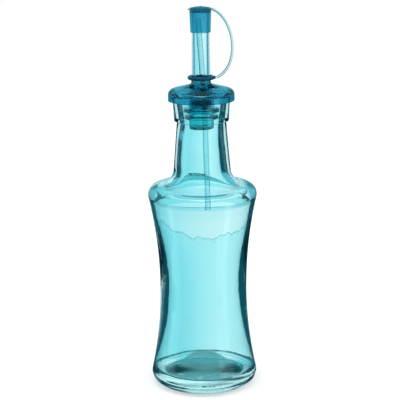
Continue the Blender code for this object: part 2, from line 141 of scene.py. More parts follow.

# The cards, whose colours are painted reflections and refractions that only the glass shows: the heights of
# their colours, and their white gaps, which are narrower in some bands
BLUE_CARD = (0.132, 0.144)
HIGH_CARD = (0.158, 0.166)
TOP_CARD = (0.100, 0.125)
LIFT_CARD = (0.150, 0.170)
GAP_TOP = (0.220, 0.190)
GAP_AZIMUTHS = (0, -90, 135)
GAP_EDGE = 0.06
PALE_CARDS = 4.0
PALE_SHARES = (-1.0, 0.5)
BAND_NEAR = (0.145, 0.155)
BAND_FAR = (0.255, 0.245)
BAND_HEEL = (0.085, 0.065)
BAND_HEEL_SHARE = 0.6
BAND_CUT = math.radians(16)  # how far the right side of a gap draws back in the bands

# The shut-in floor under the cruet, a painted shadow that only rays through the glass see: its edge, a dark
# lobe of painted reflection at each side, slanted ridges of painted highlight and a bright speck here and
# there as a painted glint
OVAL_EDGE_SHARES = (1.02, 0.97)
OVAL_NARROWING = (0.006, 0.024)
OVAL_NARROWING_SHARE = 0.55
LOBE_SPREAD = (0.006, 0.022)
LOBE_WIDTH = 0.0020
LOBE_SWELL = 0.0080
LOBE_WANDER = 0.0120
LOBE_NOISE = 130.0
LOBE_EDGE = (0.0045, -0.0030)
LOBE_FADE = (0.004, 0.014)
LOBE_SHARE = 0.22
LOBE_SIDE_SHARE = 0.76
RIDGE_SLANT = (0.905, 0.43)
RIDGE_RATE = 4200.0
RIDGE_HIGHLIGHT_TINT = (0.85, 1.0, 1.0)
RIDGE_HIGHLIGHT_SHARE = 0.35
PATCH_MIDDLE = 0.005
PATCH_SIDE = (0.009, 0.005)
PATCH_FRONT = (-0.004, 0.002)
PATCH_BACK = (0.018, 0.013)
SPECK_STRETCH = (0.35, 1.0, 1.0)
SPECK_NOISE = 520.0
SPECK_SHARES = (0.56, 0.66)
SPECK_FRONT = (-0.005, -0.009)
SPECK_SIDE = (0.022, 0.018)
SPECK_GLINT_TINT = (1.6, 0.95, 0.95)
SPECK_GLINT_SHARE = 0.8

LAMP_AIM = Vector((0, 0, 0.12))
TOP_LIGHT = {"place": (-0.25, -0.15, 1.1), "width": 0.9, "height": 0.9, "energy": 4}
SIDE_LIGHT = {"place": (0.52, -0.33, 0.26), "width": 0.14, "height": 0.7, "energy": 1.6}
FRAME_WIDTH = 36  # of the camera, in millimetres
CAMERA_REACH = (0.01, 100)

Finish = namedtuple("Finish", "ior smooth rough wave_height wave_scale clear", defaults=(1.0,))
FINISHES = {
    "aqua_glass": Finish(1.5, 0.0, 0.015, 0.0002, 90),
    "blue_plastic": Finish(1.49, 0.02, 0.06, 0.0001, 160),
    "clear_plastic": Finish(1.49, 0.0, 0.02, 0.00003, 200),
    "teal_soft_plastic": Finish(1.45, 0.08, 0.16, 0.0002, 220),
    "straw_plastic": Finish(1.45, 0.03, 0.10, 0.0001, 300),
    "deep_blue_plastic": Finish(1.49, 0.08, 0.18, 0.0001, 200, 0.3),
    "cap_plastic": Finish(1.49, 0.03, 0.09, 0.0001, 220),
    "strap_plastic": Finish(1.45, 0.06, 0.14, 0.0001, 260),
}


def length(description, value):
    return FloatProperty, {"description": description, "default": value, "unit": "LENGTH", "precision": 5}


def amount(description, value):
    return FloatProperty, {"description": description, "default": value, "precision": 4}


def tint(description, value):
    return FloatVectorProperty, {"description": description, "default": value, "subtype": "COLOR", "size": 3}


def number(description, value):
    return IntProperty, {"description": description, "default": value}


def clear(colour, deep, density):
    """The three properties of a see-through material."""
    return {
        "colour": tint("Colour at its surface", colour),
        "deep": tint("Colour that it takes on where it is thick", deep),
        "density": amount("Light that it takes away, per metre", density),
    }


def made(group):
    """Makes the properties of a group, each named after its key."""
    rows = {}
    for key, row in group.__annotations__.items():
        parts = row.items() if isinstance(row, dict) else [("", row)]
        for part, (kind, settings) in parts:
            full = f"{key}_{part}".strip("_")
            rows[full] = kind(name=full.replace("_", " ").capitalize(), **settings)
    group.__annotations__ = rows
    return group


@made
class CruetBottle(PropertyGroup):
    """Sizes and glass of the bottle"""

    foot_radius: length("Outer edge of the flat ring the bottle stands on", 0.02515)
    foot_land: length("Width of that flat ring", 0.0016)
    punt_height: length("How far the underside is raised in its middle", 0.0016)
    recess_depth: length("Depth of the recess inside the foot ring, at its edge", 0.0010)
    recess_round: length("Radius of the recess's edge", 0.0010)
    heel_radius: length("Outer radius at the heel", 0.03275)
    heel_height: length("Height at which the heel is widest", 0.0062)
    heel_turn: amount("Angle at which the heel's curve starts, in degrees", 10)
    waist_radius: length("Outer radius at the waist", 0.0267)
    waist_height: length("Height of the waist", 0.0618)
    shoulder_radius: length("Outer radius of the shoulder's corner", 0.0343)
    shoulder_height: length("Height of the shoulder's corner", 0.1246)
    shoulder_round: length("Radius of the shoulder's corner", 0.0057)
    neck_foot_radius: length("Outer radius where the neck meets the shoulder", 0.0179)
    neck_foot_height: length("Height where the neck meets the shoulder", 0.1279)
    neck_foot_round: length("Radius of the hollow between neck and shoulder", 0.0095)
    neck_top_radius: length("Outer radius of the neck under its finish", 0.0148)
    finish_foot_radius: length("Outer radius of the finish at its lower edge", 0.01645)
    finish_top_radius: length("Outer radius of the finish at the lip", 0.0173)
    finish_height: length("Height of the thick band at the mouth", 0.0159)
    finish_round: length("Radius of the finish's lower edge", 0.0006)
    lip_round: length("Radius of the lip's edges", 0.0011)
    bore_radius: length("Radius of the mouth at the lip", 0.0128)
    bore_depth: length("Depth of the tapering mouth", 0.0180)
    throat_radius: length("Radius of the mouth at its narrowest", 0.0101)
    throat_round: length("Radius where the bore widens into the neck", 0.040)
    wall_neck: length("Glass thickness at the neck's foot", 0.0048)
    wall_shoulder: length("Glass thickness at the shoulder", 0.0030)
    wall_upper: length("Glass thickness in the upper body", 0.0023)
    thin_height: length("Height above which the upper wall is thin", 0.1080)
    thick_height: length("Height below which the wall is as thick as at the waist", 0.0580)
    wall_waist: length("Glass thickness at the waist", 0.0047)
    wall_heel: length("Glass thickness at the heel", 0.0020)
    inner_neck_round: length("Radius inside, between neck and shoulder", 0.0130)
    inner_shoulder_round: length("Radius inside the shoulder", 0.0045)
    inner_heel_round: length("Radius inside the heel", 0.0015)
    base_thickness: length("Glass thickness in the middle of the base", 0.0090)
    floor_drop: length("How much lower the inner floor is at its edge", 0.0011)
    lean_waist: length("How far the hollow stands to one side at the waist", 0.0003)
    lean_shoulder: length("How far it stands to one side below the shoulder", 0.0001)
    lean_neck: length("How far it stands to one side in the neck", -0.0006)
    wave_height: length("How far the inner wall wanders, as blown glass does", 0.00012)
    wave_size: amount("Waves in a metre of the inner wall", 55)
    ring_count: number("Fine moulded rings round the heel", 2)
    ring_depth: length("Depth of the grooves between the heel's rings", 0.00030)
    settle_height: length("Height of the faint line where the glass settled in its mould", 0.0995)
    ridge_count: number("Fine moulded ridges round the foot", 96)
    ridge_height: length("Height of the foot's ridges", 0.00018)
    steps: number("Facets round the bottle", 280)
    glass: clear((0.655, 0.937, 0.958), (0.0, 0.88, 0.91), 7)


@made
class CruetPourer(PropertyGroup):
    """Sizes and plastics of the pourer"""

    rim_radius: length("Outer radius of the flange", 0.01995)
    rim_round: length("Radius of the flange's upper edge", 0.0037)
    rim_edge_height: length("Height of the flange's upper edge over the lip", 0.0027)
    skirt_depth: length("How far the skirt hangs below the lip", 0.0036)
    skirt_wall: length("Thickness of the skirt", 0.0018)
    dome_rise: length("Rise of the flange from its edge to its hub", 0.0037)
    dome_wall: length("Thickness of the flange's dome", 0.0018)
    seat_width: length("Width of the ring that rests on the lip", 0.0033)
    hub_radius: length("Outer radius of the hub", 0.0059)
    hub_height: length("Height of the hub over the dome", 0.0022)
    hub_round: length("Radius of the hollow round the hub", 0.0012)
    socket_wall: length("Thickness of the socket under the flange", 0.0014)
    socket_depth: length("How far the socket hangs below the lip", 0.0090)
    edge_round: length("Radius of moulded edges", 0.0003)
    spout_foot_radius: length("Outer radius of the spout at its foot", 0.00553)
    spout_tip_radius: length("Outer radius of the spout at its tip", 0.00495)
    spout_length: length("Length of the spout over the hub", 0.03965)
    spout_wall: length("Thickness of the spout", 0.0012)
    spigot_radius: length("Outer radius of the spout's spigot", 0.0046)
    spigot_wall: length("Thickness of the spigot", 0.0010)
    spigot_length: length("Length of the spigot in its socket", 0.0140)
    stopper_cap_radius: length("Radius of the stopper's top on the lip", 0.0145)
    stopper_cap_height: length("Thickness of the stopper's top", 0.0010)
    rib_count: number("Number of ribs on the stopper", 2)
    rib_drop: length("Depth of the first rib below the lip", 0.0080)
    rib_pitch: length("Distance from rib to rib", 0.0040)
    rib_height: length("Thickness of a rib at its root", 0.0024)
    sleeve_radius: length("Outer radius of the sleeve", 0.0075)
    sleeve_wall: length("Thickness of the sleeve", 0.0014)
    sleeve_length: length("Length of the sleeve below the lip", 0.0205)
    sleeve_floor: length("Thickness of the pierced floor", 0.0014)
    pour_hole_radius: length("Radius of the holes in the floor", 0.0015)
    pour_hole_offset: length("Distance of the holes from the axis", 0.0037)
    straw_radius: length("Outer radius of the straw", 0.00165)
    straw_wall: length("Thickness of the straw", 0.0004)
    straw_length: length("Length of the straw", 0.1106)
    straw_setback: length("How far the straw's end lies inside the spout's tip", 0.0036)
    straw_top_offset: length("Where the straw's upper end stands", -0.0016)
    straw_end_offset: length("Where the straw's lower end stands", 0.0031)
    skirt_colour: tint("Colour of the flange's skirt", (0.07, 0.40, 0.56))
    # The hub's colour is painted light: nearly clear, so that the hub looks lit
    hub_colour: tint("Colour of the flange's hub", (0.75, 0.98, 1.0))
    flange: clear((0.21, 0.66, 0.80), (0.0, 0.66, 0.84), 40)
    spout: clear((0.80, 0.955, 0.97), (0.0, 0.80, 0.86), 40)
    stopper: clear((0.36, 0.84, 0.88), (0.0, 0.66, 0.72), 140)
    straw: clear((0.86, 0.95, 0.96), (0.4, 0.85, 0.88), 100)


@made
class CruetCap(PropertyGroup):
    """Sizes and plastics of the cap, the collar and the strap"""

    cap_radius: length("Outer radius of the cap at its lid", 0.00643)
    cap_mouth_radius: length("Outer radius of the cap at its mouth", 0.0060)
    cap_depth: length("Length of the cap below the spout's tip", 0.0117)
    cap_round: length("Radius of the cap's lower edge", 0.0004)
    lid_thickness: length("Thickness of the lid under the strap's eye", 0.0010)
    dome_edge: length("Height of the head's upright edge", 0.0002)
    dome_rise: length("Rise of the domed head", 0.0009)
    nipple_radius: length("Radius of the moulding point on the head", 0.0005)
    nipple_height: length("Height of the moulding point", 0.0002)
    stem_radius: length("Radius of the stem inside the strap's eye", 0.0044)
    collar_section: length("Radius of the collar's round section", 0.00115)
    lug_length: length("How far the collar's lug stands out", 0.0006)
    lug_width: length("Width of the lug", 0.0024)
    lug_height: length("Height of the lug", 0.0018)
    peg_depth: length("How far the strap's peg goes into the lug", 0.0010)
    peg_width: length("Width of the strap's peg", 0.0012)
    peg_height: length("Height of the strap's peg", 0.0006)
    strap_width: length("Width of the strap", 0.0026)
    strap_thickness: length("Thickness of the strap", 0.0015)
    eye_thickness: length("Thickness of the strap's eye", 0.0005)
    eye_width: length("Width of the ring round the stem", 0.0026)
    upper_reach: length("How far the strap's upper handle reaches out", 0.0129)
    upper_drop: length("How far the upper handle drops", 0.0048)
    lower_reach: length("How far the strap's lower handle reaches out", 0.0149)
    lower_rise: length("How far the lower handle rises", 0.0066)
    cap: clear((0.34, 0.71, 0.81), (0.0, 0.64, 0.76), 360)
    collar: clear((0.003, 0.055, 0.125), (0.0, 0.40, 0.62), 900)
    strap: clear((0.56, 0.74, 0.77), (0.60, 0.80, 0.83), 120)


@made
class CruetStage(PropertyGroup):
    """The floor, the light and the camera"""

    floor_colour: tint("Colour of the floor", (1.0, 1.0, 1.0))
    floor_size: length("Width of the floor", 40)
    card_radius: length("Distance of the cards from the cruet", 0.30)
    card_height: length("Height of the cards", 1.30)
    floor_drop: length("Hair's breadth between the foot and the floor", 0.00003)
    floor_glow: amount("How far the floor's own white lightens the cruet's shadow", 0.45)
    shade_width: length("Half width of the shut-in floor under the cruet", 0.0240)
    shade_depth: length("Half depth of that floor", 0.0330)
    shade_back: length("How far that floor's middle lies back", 0.0030)
    shade: tint("Colour of the shut-in floor under the cruet", (0.27, 0.42, 0.41))
    shade_dark: tint("Colour where that floor is darkest", (0.0, 0.0, 0.0))
    # The card colours below are painted reflections and refractions that only the glass shows
    card_light: amount("Brightness of the white of the cards", 1.12)
    card_white: tint("Colour at the right of each card", (1.0, 1.0, 1.0))
    card_shade: tint("Colour at the left of each card", (0.49, 0.83, 0.88))
    card_dark: tint("Colour that the thick rims of the glass pick up", (0.006, 0.075, 0.105))
    card_inner: tint("Colour that shows in the reflections inside the glass", (0.26, 0.60, 0.64))
    card_top: tint("Colour that the base of the glass reflects from the upper cards", (0.025, 0.075, 0.085))
    card_lift: tint("Colour that the pourer's plastics reflect from the upper cards", (0.20, 0.62, 0.74))
    card_shine: tint("Colour of the gaps in the gloss of the glass", (0.22, 0.50, 0.56))
    card_blue: tint("Colour half-way up the cards, which the spout picks up", (0.05, 0.30, 0.42))
    card_high: tint("Colour of the upper cards, which the plastics pick up", (0.14, 0.48, 0.56))
    gap_left: amount("Left side of the white gap in the dark, in degrees", -20)
    gap_right: amount("Right side of the white gap in the dark, in degrees", 12)
    camera_side: length("Camera place along X", -0.00149)
    camera_back: length("Camera distance in front of the cruet", 0.704)
    camera_height: length("Camera height over the floor", 0.2909)
    camera_pitch: amount("Angle below the horizon, in degrees", 13.962)
    camera_roll: amount("Turn about the line of sight, in degrees", -0.690)
    lens: amount("Focal length in millimetres on a 36 mm wide frame", 106.88)


# Outlines of turned pieces: points (r, z)


def arc(centre, radius, start, end, steps, height=None):
    """Points along a circle, or an ellipse with its own height, between two angles in degrees."""
    height = radius if height is None else height
    points = []
    for i in range(steps + 1):
        angle = math.radians(start + (end - start) * i / steps)
        points.append((centre[0] + radius * math.cos(angle), centre[1] + height * math.sin(angle)))
    return points


def bow(vertex, end, steps):
    """Points along a shallow bow that is upright at its vertex, without the vertex."""
    points = []
    for i in range(1, steps + 1):
        share = i / steps
        r = vertex[0] + (end[0] - vertex[0]) * share**2
        points.append((r, vertex[1] + (end[1] - vertex[1]) * share))
    return points


def dish(height, edge, steps):
    """Points of a dished round floor, from its middle to its edge point."""
    points = []
    for i in range(steps + 1):
        share = i / steps
        points.append((edge[0] * share, height + (edge[1] - height) * share**2))
    return points


def rounded(corners, steps=8):
    """An open outline through corners (r, z) or (r, z, rounding), with each rounding made an arc."""
    points = [corners[0][:2]]
    for before, corner, after in zip(corners, corners[1:], corners[2:]):
        if len(corner) == 2:
            points.append(corner)
            continue
        tip = Vector(corner[:2])
        back = (Vector(before[:2]) - tip).normalized()
        on = (Vector(after[:2]) - tip).normalized()
        half = back.angle(on) / 2
        middle = tip + (back + on).normalized() * corner[2] / math.sin(half)
        reach = corner[2] / math.tan(half)
        first = tip + back * reach - middle
        turn = first.angle_signed(tip + on * reach - middle)
        for i in range(steps + 1):
            points.append(tuple(middle + Matrix.Rotation(-turn * i / steps, 2) @ first))
    points.append(corners[-1][:2])
    return points


def finely(points, spacing):
    """The same outline with points added where two lie further apart than the spacing."""
    fine = [points[0]]
    for (r0, z0), (r1, z1) in zip(points, points[1:]):
        pieces = max(1, math.ceil(math.hypot(r1 - r0, z1 - z0) / spacing))
        for i in range(1, pieces + 1):
            share = i / pieces
            fine.append((r0 + (r1 - r0) * share, z0 + (z1 - z0) * share))
    return fine


def clamp(value):
    return min(max(value, 0), 1)


def eased(value, low, high):
    """0 below low, 1 above high, and a smooth step between them."""
    share = clamp((value - low) / (high - low))
    return share * share * (3 - 2 * share)


# Node trees


class Field:
    """A value in a node tree. Sums and products of fields add the math nodes that work them out."""

    def __init__(self, net, socket):
        self.net = net
        self.socket = socket

    def __add__(self, other):
        return self.net.calc("ADD", self, other)

    def __sub__(self, other):
        return self.net.calc("SUBTRACT", self, other)

    def __rsub__(self, other):
        return self.net.calc("SUBTRACT", other, self)

    def __mul__(self, other):
        return self.net.calc("MULTIPLY", self, other)

    def __truediv__(self, other):
        return self.net.calc("DIVIDE", self, other)

    def __abs__(self):
        return self.net.calc("ABSOLUTE", self)


class Net:
    """Adds nodes to a tree and joins their sockets."""

    def __init__(self, tree):
        self.tree = tree

    def fill(self, node, inputs):
        """Links the fields to a node's inputs and sets the other values."""
        for key, value in inputs.items():
            if isinstance(value, Field):
                self.tree.links.new(value.socket, node.inputs[key])
            else:
                node.inputs[key].default_value = value
        return node

    def add(self, kind, inputs=None, **settings):
        node = self.tree.nodes.new(kind)
        for key, value in settings.items():
            setattr(node, key, value)
        return self.fill(node, inputs or {})

    def out(self, kind, inputs=None, output=0, **settings):
        """An output of a new node."""
        return Field(self, self.add(kind, inputs, **settings).outputs[output])

    def calc(self, operation, *values):
        return self.out("ShaderNodeMath", dict(enumerate(values)), operation=operation)

    def ramp(self, value, low, high):
        """A smooth step from 0 at low to 1 at high."""
        ends = {"Value": value, "From Min": low, "From Max": high}
        return self.out("ShaderNodeMapRange", ends, "Result", interpolation_type="SMOOTHSTEP")

    def blend(self, share, first, second):
        """A colour between two colours."""
        first, second = [c if isinstance(c, Field) else (*c, 1) for c in (first, second)]
        inputs = {0: share, 6: first, 7: second}
        return self.out("ShaderNodeMix", inputs, 2, data_type="RGBA", clamp_factor=True)

    def split(self, vector):
        return [Field(self, part) for part in self.add("ShaderNodeSeparateXYZ", {0: vector}).outputs]

    def join(self, x, y, z=0.0):
        return self.out("ShaderNodeCombineXYZ", {0: x, 1: y, 2: z})

    def reach(self, vector):
        return self.out("ShaderNodeVectorMath", {0: vector}, "Value", operation="LENGTH")

    def noise(self, vector, scale, detail=2.0):
        return self.out("ShaderNodeTexNoise", {"Vector": vector, "Scale": scale, "Detail": detail})

    def place(self):
        """Where a point of the piece lies."""
        return self.out("ShaderNodeTexCoord", output="Object")

    def path(self, title):
        """What is known of the ray that looks at the piece."""
        return self.out("ShaderNodeLightPath", output=title)

    def shade(self, inputs):
        """Fills inputs of the material's main shader."""
        self.fill(self.tree.nodes["Principled BSDF"], inputs)


def blank(data):
    """The net of a material or world, emptied."""
    data.use_nodes = True
    data.node_tree.nodes.clear()
    return Net(data.node_tree)


def live(sockets, name):
    """The socket of a name that is in use, as some nodes carry one for each type of value."""
    return [socket for socket in sockets if socket.enabled and socket.name == name][0]


class Tree(Net):
    """A Geometry Nodes tree with named inputs and a material."""

    def __init__(self, name, inputs):
        super().__init__(bpy.data.node_groups.new(name, "GeometryNodeTree"))
        self.tree.is_modifier = True
        face = self.tree.interface
        for title, kind in {"Geometry": "Geometry", **inputs, "Material": "Material"}.items():
            face.new_socket(name=title, in_out="INPUT", socket_type="NodeSocket" + kind)
        face.new_socket(name="Geometry", in_out="OUTPUT", socket_type="NodeSocketGeometry")
        self.start = self.tree.nodes.new("NodeGroupInput")

    def given(self, title):
        return Field(self, self.start.outputs[title])

    def position(self):
        return self.out("GeometryNodeInputPosition")

    def attribute(self, name):
        """A number that the mesh carries at each point."""
        return self.out("GeometryNodeInputNamedAttribute", {"Name": name}, data_type="FLOAT")

    def finish(self, mesh):
        """Realize Instances and Set Material, then the output."""
        real = self.out("GeometryNodeRealizeInstances", {"Geometry": mesh})
        inputs = {"Geometry": real, "Material": self.given("Material")}
        self.add("NodeGroupOutput", {0: self.out("GeometryNodeSetMaterial", inputs)})
        return self.tree


def turned_part(nodes, values):
    """Turns the outline, a line of vertices in the XZ plane, into a surface of revolution."""
    outline = nodes.given("Geometry")
    count = nodes.out("GeometryNodeAttributeDomainSize", {"Geometry": outline}, "Point Count")
    size = {"Size X": 1.0, "Size Y": 1.0, "Vertices X": count, "Vertices Y": nodes.given("Steps") + 1.0}
    grid = nodes.out("GeometryNodeMeshGrid", size, "Mesh")
    along, around, _ = nodes.split(nodes.position())
    index = nodes.out("FunctionNodeFloatToInt", {0: (along + 0.5) * (count - 1.0)}, rounding_mode="ROUND")
    angle = (around + 0.5) * math.tau

    def sampled(field, kind="FLOAT"):
        inputs = {"Geometry": outline, "Index": index}
        sample = nodes.add("GeometryNodeSampleIndex", inputs, data_type=kind, domain="POINT")
        nodes.tree.links.new(field.socket, live(sample.inputs, "Value"))
        return Field(nodes, live(sample.outputs, "Value"))

    r, _, z = nodes.split(sampled(nodes.position(), "FLOAT_VECTOR"))
    radius, height, aside = values(r, z, angle, sampled)
    x = radius * nodes.calc("COSINE", angle) + aside
    point = nodes.join(x, radius * nodes.calc("SINE", angle), height)
    moved = nodes.out("GeometryNodeSetPosition", {"Geometry": grid, "Position": point})
    return nodes.out("GeometryNodeMergeByDistance", {"Geometry": moved, "Distance": SEAM})


def turned_tree():
    """A plain turned piece."""
    nodes = Tree("Turned piece", {"Steps": "Int"})
    return nodes.finish(turned_part(nodes, lambda r, z, angle, sampled: (r, z, 0.0)))


def glass_tree():
    """The turned bottle, with a wandering inner wall and fine ridges round its foot."""
    inputs = {"Steps": "Int", "Wave height": "Float", "Wave scale": "Float", "Ridges": "Int"}
    nodes = Tree("Glass bottle", {**inputs, "Ridge height": "Float", "Seed": "Float"})

    def values(r, z, angle, sampled):
        wave, ridge, lean = [sampled(nodes.attribute(name)) for name in GLASS_VALUES]
        x, y = r * nodes.calc("COSINE", angle), r * nodes.calc("SINE", angle)
        spot = nodes.join(x, y, z * WAVE_STRETCH)
        noise = {"Vector": spot, "Detail": WAVE_DETAIL}
        noise.update({"W": nodes.given("Seed"), "Scale": nodes.given("Wave scale")})
        swing = (nodes.out("ShaderNodeTexNoise", noise, noise_dimensions="4D") - 0.5) * WAVE_GAIN
        swing = swing * (wave * nodes.given("Wave height"))
        teeth = (nodes.calc("SINE", angle * nodes.given("Ridges")) + 1.0) * 0.5
        lift = teeth * (ridge * nodes.given("Ridge height"))
        return r + swing, z + lift, lean

    return nodes.finish(turned_part(nodes, values))


def band_tree():
    """A band with rounded edges that follows a path."""
    nodes = Tree("Strap band", {"Width": "Float", "Thickness": "Float"})
    thickness = nodes.given("Thickness")
    path = nodes.out("GeometryNodeMeshToCurve", {"Mesh": nodes.given("Geometry")})
    path = nodes.out("GeometryNodeSetCurveNormal", {"Curve": path})
    sides = {"Width": nodes.given("Width"), "Height": thickness}
    section = nodes.out("GeometryNodeCurvePrimitiveQuadrilateral", sides)
    edges = {"Curve": section, "Count": BAND_ROUND_STEPS, "Limit Radius": True}
    edges["Radius"] = thickness * BAND_ROUND_SHARE
    section = nodes.out("GeometryNodeFilletCurve", edges, mode="POLY")
    sweep = {"Curve": path, "Profile Curve": section, "Fill Caps": True}
    mesh = nodes.out("GeometryNodeCurveToMesh", sweep)
    return nodes.finish(nodes.out("GeometryNodeMergeByDistance", {"Geometry": mesh, "Distance": SEAM}))


def tube_tree():
    """An open round tube that follows a path."""
    nodes = Tree("Straw tube", {"Radius": "Float", "Sides": "Int"})
    path = nodes.out("GeometryNodeMeshToCurve", {"Mesh": nodes.given("Geometry")})
    circle = {"Resolution": nodes.given("Sides"), "Radius": nodes.given("Radius")}
    section = nodes.out("GeometryNodeCurvePrimitiveCircle", circle)
    return nodes.finish(nodes.out("GeometryNodeCurveToMesh", {"Curve": path, "Profile Curve": section}))


def rib_tree():
    """Soft ribs repeated down a sleeve, each as wide as the tapering mouth at its own depth."""
    sizes = ("Drop", "Pitch", "Height", "Root", "Mouth", "Taper", "Lip")
    nodes = Tree("Stopper ribs", {"Ribs": "Int", **dict.fromkeys(sizes, "Float")})
    drop, pitch, height, root, mouth, taper, lip = [nodes.given(size) for size in sizes]
    places = {"Count": nodes.given("Ribs"), "Offset": nodes.join(0.0, 0.0)}
    line = nodes.out("GeometryNodeMeshLine", places)
    ring = nodes.out("GeometryNodeCurvePrimitiveCircle", {"Resolution": SMALL_FACETS, "Radius": 1.0})
    section = nodes.out("GeometryNodeCurvePrimitiveQuadrilateral", {"Width": 1.0, "Height": 1.0})
    edges = {"Curve": section, "Count": RIB_ROUND_STEPS, "Radius": RIB_ROUND_SHARE}
    section = nodes.out("GeometryNodeFilletCurve", edges, mode="POLY")
    hoop = nodes.out("GeometryNodeCurveToMesh", {"Curve": ring, "Profile Curve": section})
    ribs = nodes.out("GeometryNodeInstanceOnPoints", {"Points": line, "Instance": hoop})
    order = {"Geometry": ribs, "Name": "order", "Value": nodes.out("GeometryNodeInputIndex")}
    ribs = nodes.out("GeometryNodeStoreNamedAttribute", order, data_type="FLOAT", domain="INSTANCE")
    ribs = nodes.out("GeometryNodeRealizeInstances", {"Geometry": ribs})
    x, y, z = nodes.split(nodes.position())
    across = nodes.reach(nodes.join(x, y))
    outer = across - 1.0 + 0.5
    depth = drop + nodes.attribute("order") * pitch
    edge = mouth - (depth + height) * taper
    scale = (root + (edge - root) * outer) / across
    level = z * height * (1.0 - outer * RIB_SLIMMING)
    middle = lip - (depth + height * 0.5)
    spot = nodes.join(x * scale, y * scale, middle + level)
    return nodes.finish(nodes.out("GeometryNodeSetPosition", {"Geometry": ribs, "Position": spot}))


# Meshes and objects


def placed(name, data):
    """A new object in the scene."""
    obj = bpy.data.objects.new(name, data)
    bpy.context.scene.collection.objects.link(obj)
    return obj


def formed(name, shape):
    """A new object of a bmesh."""
    mesh = bpy.data.meshes.new(name)
    shape.to_mesh(mesh)
    shape.free()
    return placed(name, mesh)


def line_mesh(name, points, attributes=None):
    """A line of vertices, at (r, z) in the XZ plane, with a value at each point for each attribute."""
    mesh = bpy.data.meshes.new(name)
    mesh.from_pydata([(r, 0, z) for r, z in points], [(i, i + 1) for i in range(len(points) - 1)], [])
    for title, values in (attributes or {}).items():
        mesh.attributes.new(title, "FLOAT", "POINT").data.foreach_set("value", values)
    return mesh


def fixed(obj):
    """Makes the object's mesh plain, its modifiers carried out, and its faces sound."""
    bpy.context.view_layer.update()
    graph = bpy.context.evaluated_depsgraph_get()
    result = bpy.data.meshes.new_from_object(obj.evaluated_get(graph))
    obj.modifiers.clear()
    obj.data = result
    return outward(obj)


def outward(obj):
    """Closes seams, turns the faces outwards and shades them smooth between sharp edges."""
    shape = bmesh.new()
    shape.from_mesh(obj.data)
    bmesh.ops.remove_doubles(shape, verts=shape.verts, dist=SEAM)
    bmesh.ops.dissolve_degenerate(shape, edges=shape.edges, dist=SEAM)
    bmesh.ops.recalc_face_normals(shape, faces=shape.faces)
    shape.to_mesh(obj.data)
    shape.free()
    obj.data.shade_smooth()
    obj.data.set_sharp_from_angle(angle=SMOOTH_ANGLE)
    for name in GLASS_VALUES:
        if name in obj.data.attributes:
            obj.data.attributes.remove(obj.data.attributes[name])
    return obj


def grow(name, mesh, tree, values):
    """Runs a tree on a mesh and returns an object with the plain result."""
    obj = placed(name, mesh)
    modifier = obj.modifiers.new("Shape", "NODES")
    modifier.node_group = tree
    for item in tree.interface.items_tree:
        if item.item_type == "SOCKET" and item.in_out == "INPUT" and item.name in values:
            modifier[item.identifier] = values[item.name]
    return fixed(obj)


def turned(name, outline, steps, material, lift=0.0):
    """A turned piece from its outline, raised by lift."""
    points = [(max(r, 0), z + lift) for r, z in outline]
    return grow(name, line_mesh(name, points), turned_tree(), {"Steps": steps, "Material": material})


def combine(obj, other, operation):
    """Joins another shape to the object, or cuts it out, and removes the other."""
    boolean = obj.modifiers.new("Join", "BOOLEAN")
    boolean.operation = operation
    boolean.solver = "EXACT"
    boolean.object = other
    fixed(obj)
    bpy.data.objects.remove(other, do_unlink=True)


def block(name, low, high, rounding, material):
    """A box between two corners, its edges rounded."""
    shape = bmesh.new()
    bmesh.ops.create_cube(shape, size=1)
    bmesh.ops.scale(shape, vec=Vector(high) - Vector(low), verts=shape.verts)
    bmesh.ops.translate(shape, verts=shape.verts, vec=(Vector(low) + Vector(high)) / 2)
    if rounding:
        bmesh.ops.bevel(shape, geom=shape.edges, offset=rounding, segments=3, profile=0.5, affect="EDGES")
    obj = formed(name, shape)
    obj.data.materials.append(material)
    return obj


def seat(obj, body, node):
    """Rides the finished piece on its body, in the place of its CAD node."""
    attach(obj, body)
    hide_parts(node)


# Materials


def see_through(name, group, title):
    """Clear glass or plastic, coloured on its surface and through its depth, with faint surface waves."""
    colour, deep, density = [getattr(group, f"{title}_{part}") for part in ("colour", "deep", "density")]
    finish = FINISHES[name]
    material = bpy.data.materials.new(name)
    material.use_nodes = True
    net = Net(material.node_tree)
    grain = net.noise(net.place(), finish.wave_scale, GRAIN_DETAIL)
    spread = {"Value": grain, "To Min": finish.smooth, "To Max": finish.rough}
    relief = {"Strength": BUMP_STRENGTH, "Distance": finish.wave_height, "Height": grain}
    net.shade({"Base Color": (*colour, 1), "Transmission Weight": finish.clear, "IOR": finish.ior})
    net.shade({"Roughness": net.out("ShaderNodeMapRange", spread)})
    net.shade({"Normal": net.out("ShaderNodeBump", relief)})
    depth = net.out("ShaderNodeVolumeAbsorption", {"Color": (*deep, 1), "Density": density})
    net.fill(net.tree.nodes["Material Output"], {"Volume": depth})
    return material


# The bottle


def outer_wall(b):
    heel_width = b.heel_radius - b.foot_radius
    heel = arc((b.foot_radius, b.heel_height), heel_width, b.heel_turn, -90, HEEL_STEPS, b.heel_height)
    waist = (b.waist_radius, b.waist_height)
    shoulder = (b.shoulder_radius, b.shoulder_height)
    upper = bow(waist, shoulder, BOW_STEPS)[::-1]
    finish_foot = LIP_HEIGHT - b.finish_height
    top = rounded(
        [
            (b.bore_radius + 2 * b.lip_round, LIP_HEIGHT),
            (b.finish_top_radius, LIP_HEIGHT, b.lip_round),
            (b.finish_foot_radius, finish_foot, b.finish_round),
            (b.neck_top_radius, finish_foot),
            (b.neck_foot_radius, b.neck_foot_height, b.neck_foot_round),
            (*shoulder, b.shoulder_round),
            upper[3],
        ],
        CORNER_STEPS,
    )
    step = b.foot_radius - b.foot_land - b.recess_round
    recess = arc((step, 0), b.recess_round, 0, 90, RECESS_STEPS, b.recess_depth)
    punt = dish(b.punt_height, (step, b.recess_depth), PUNT_STEPS)[::-1]
    heel = [ringed(b, r, z) for r, z in finely(heel, HEEL_SPACING)]
    return top + upper[4:] + [waist] + bow(waist, heel[0], BOW_STEPS)[:-1] + heel + recess + punt[1:]


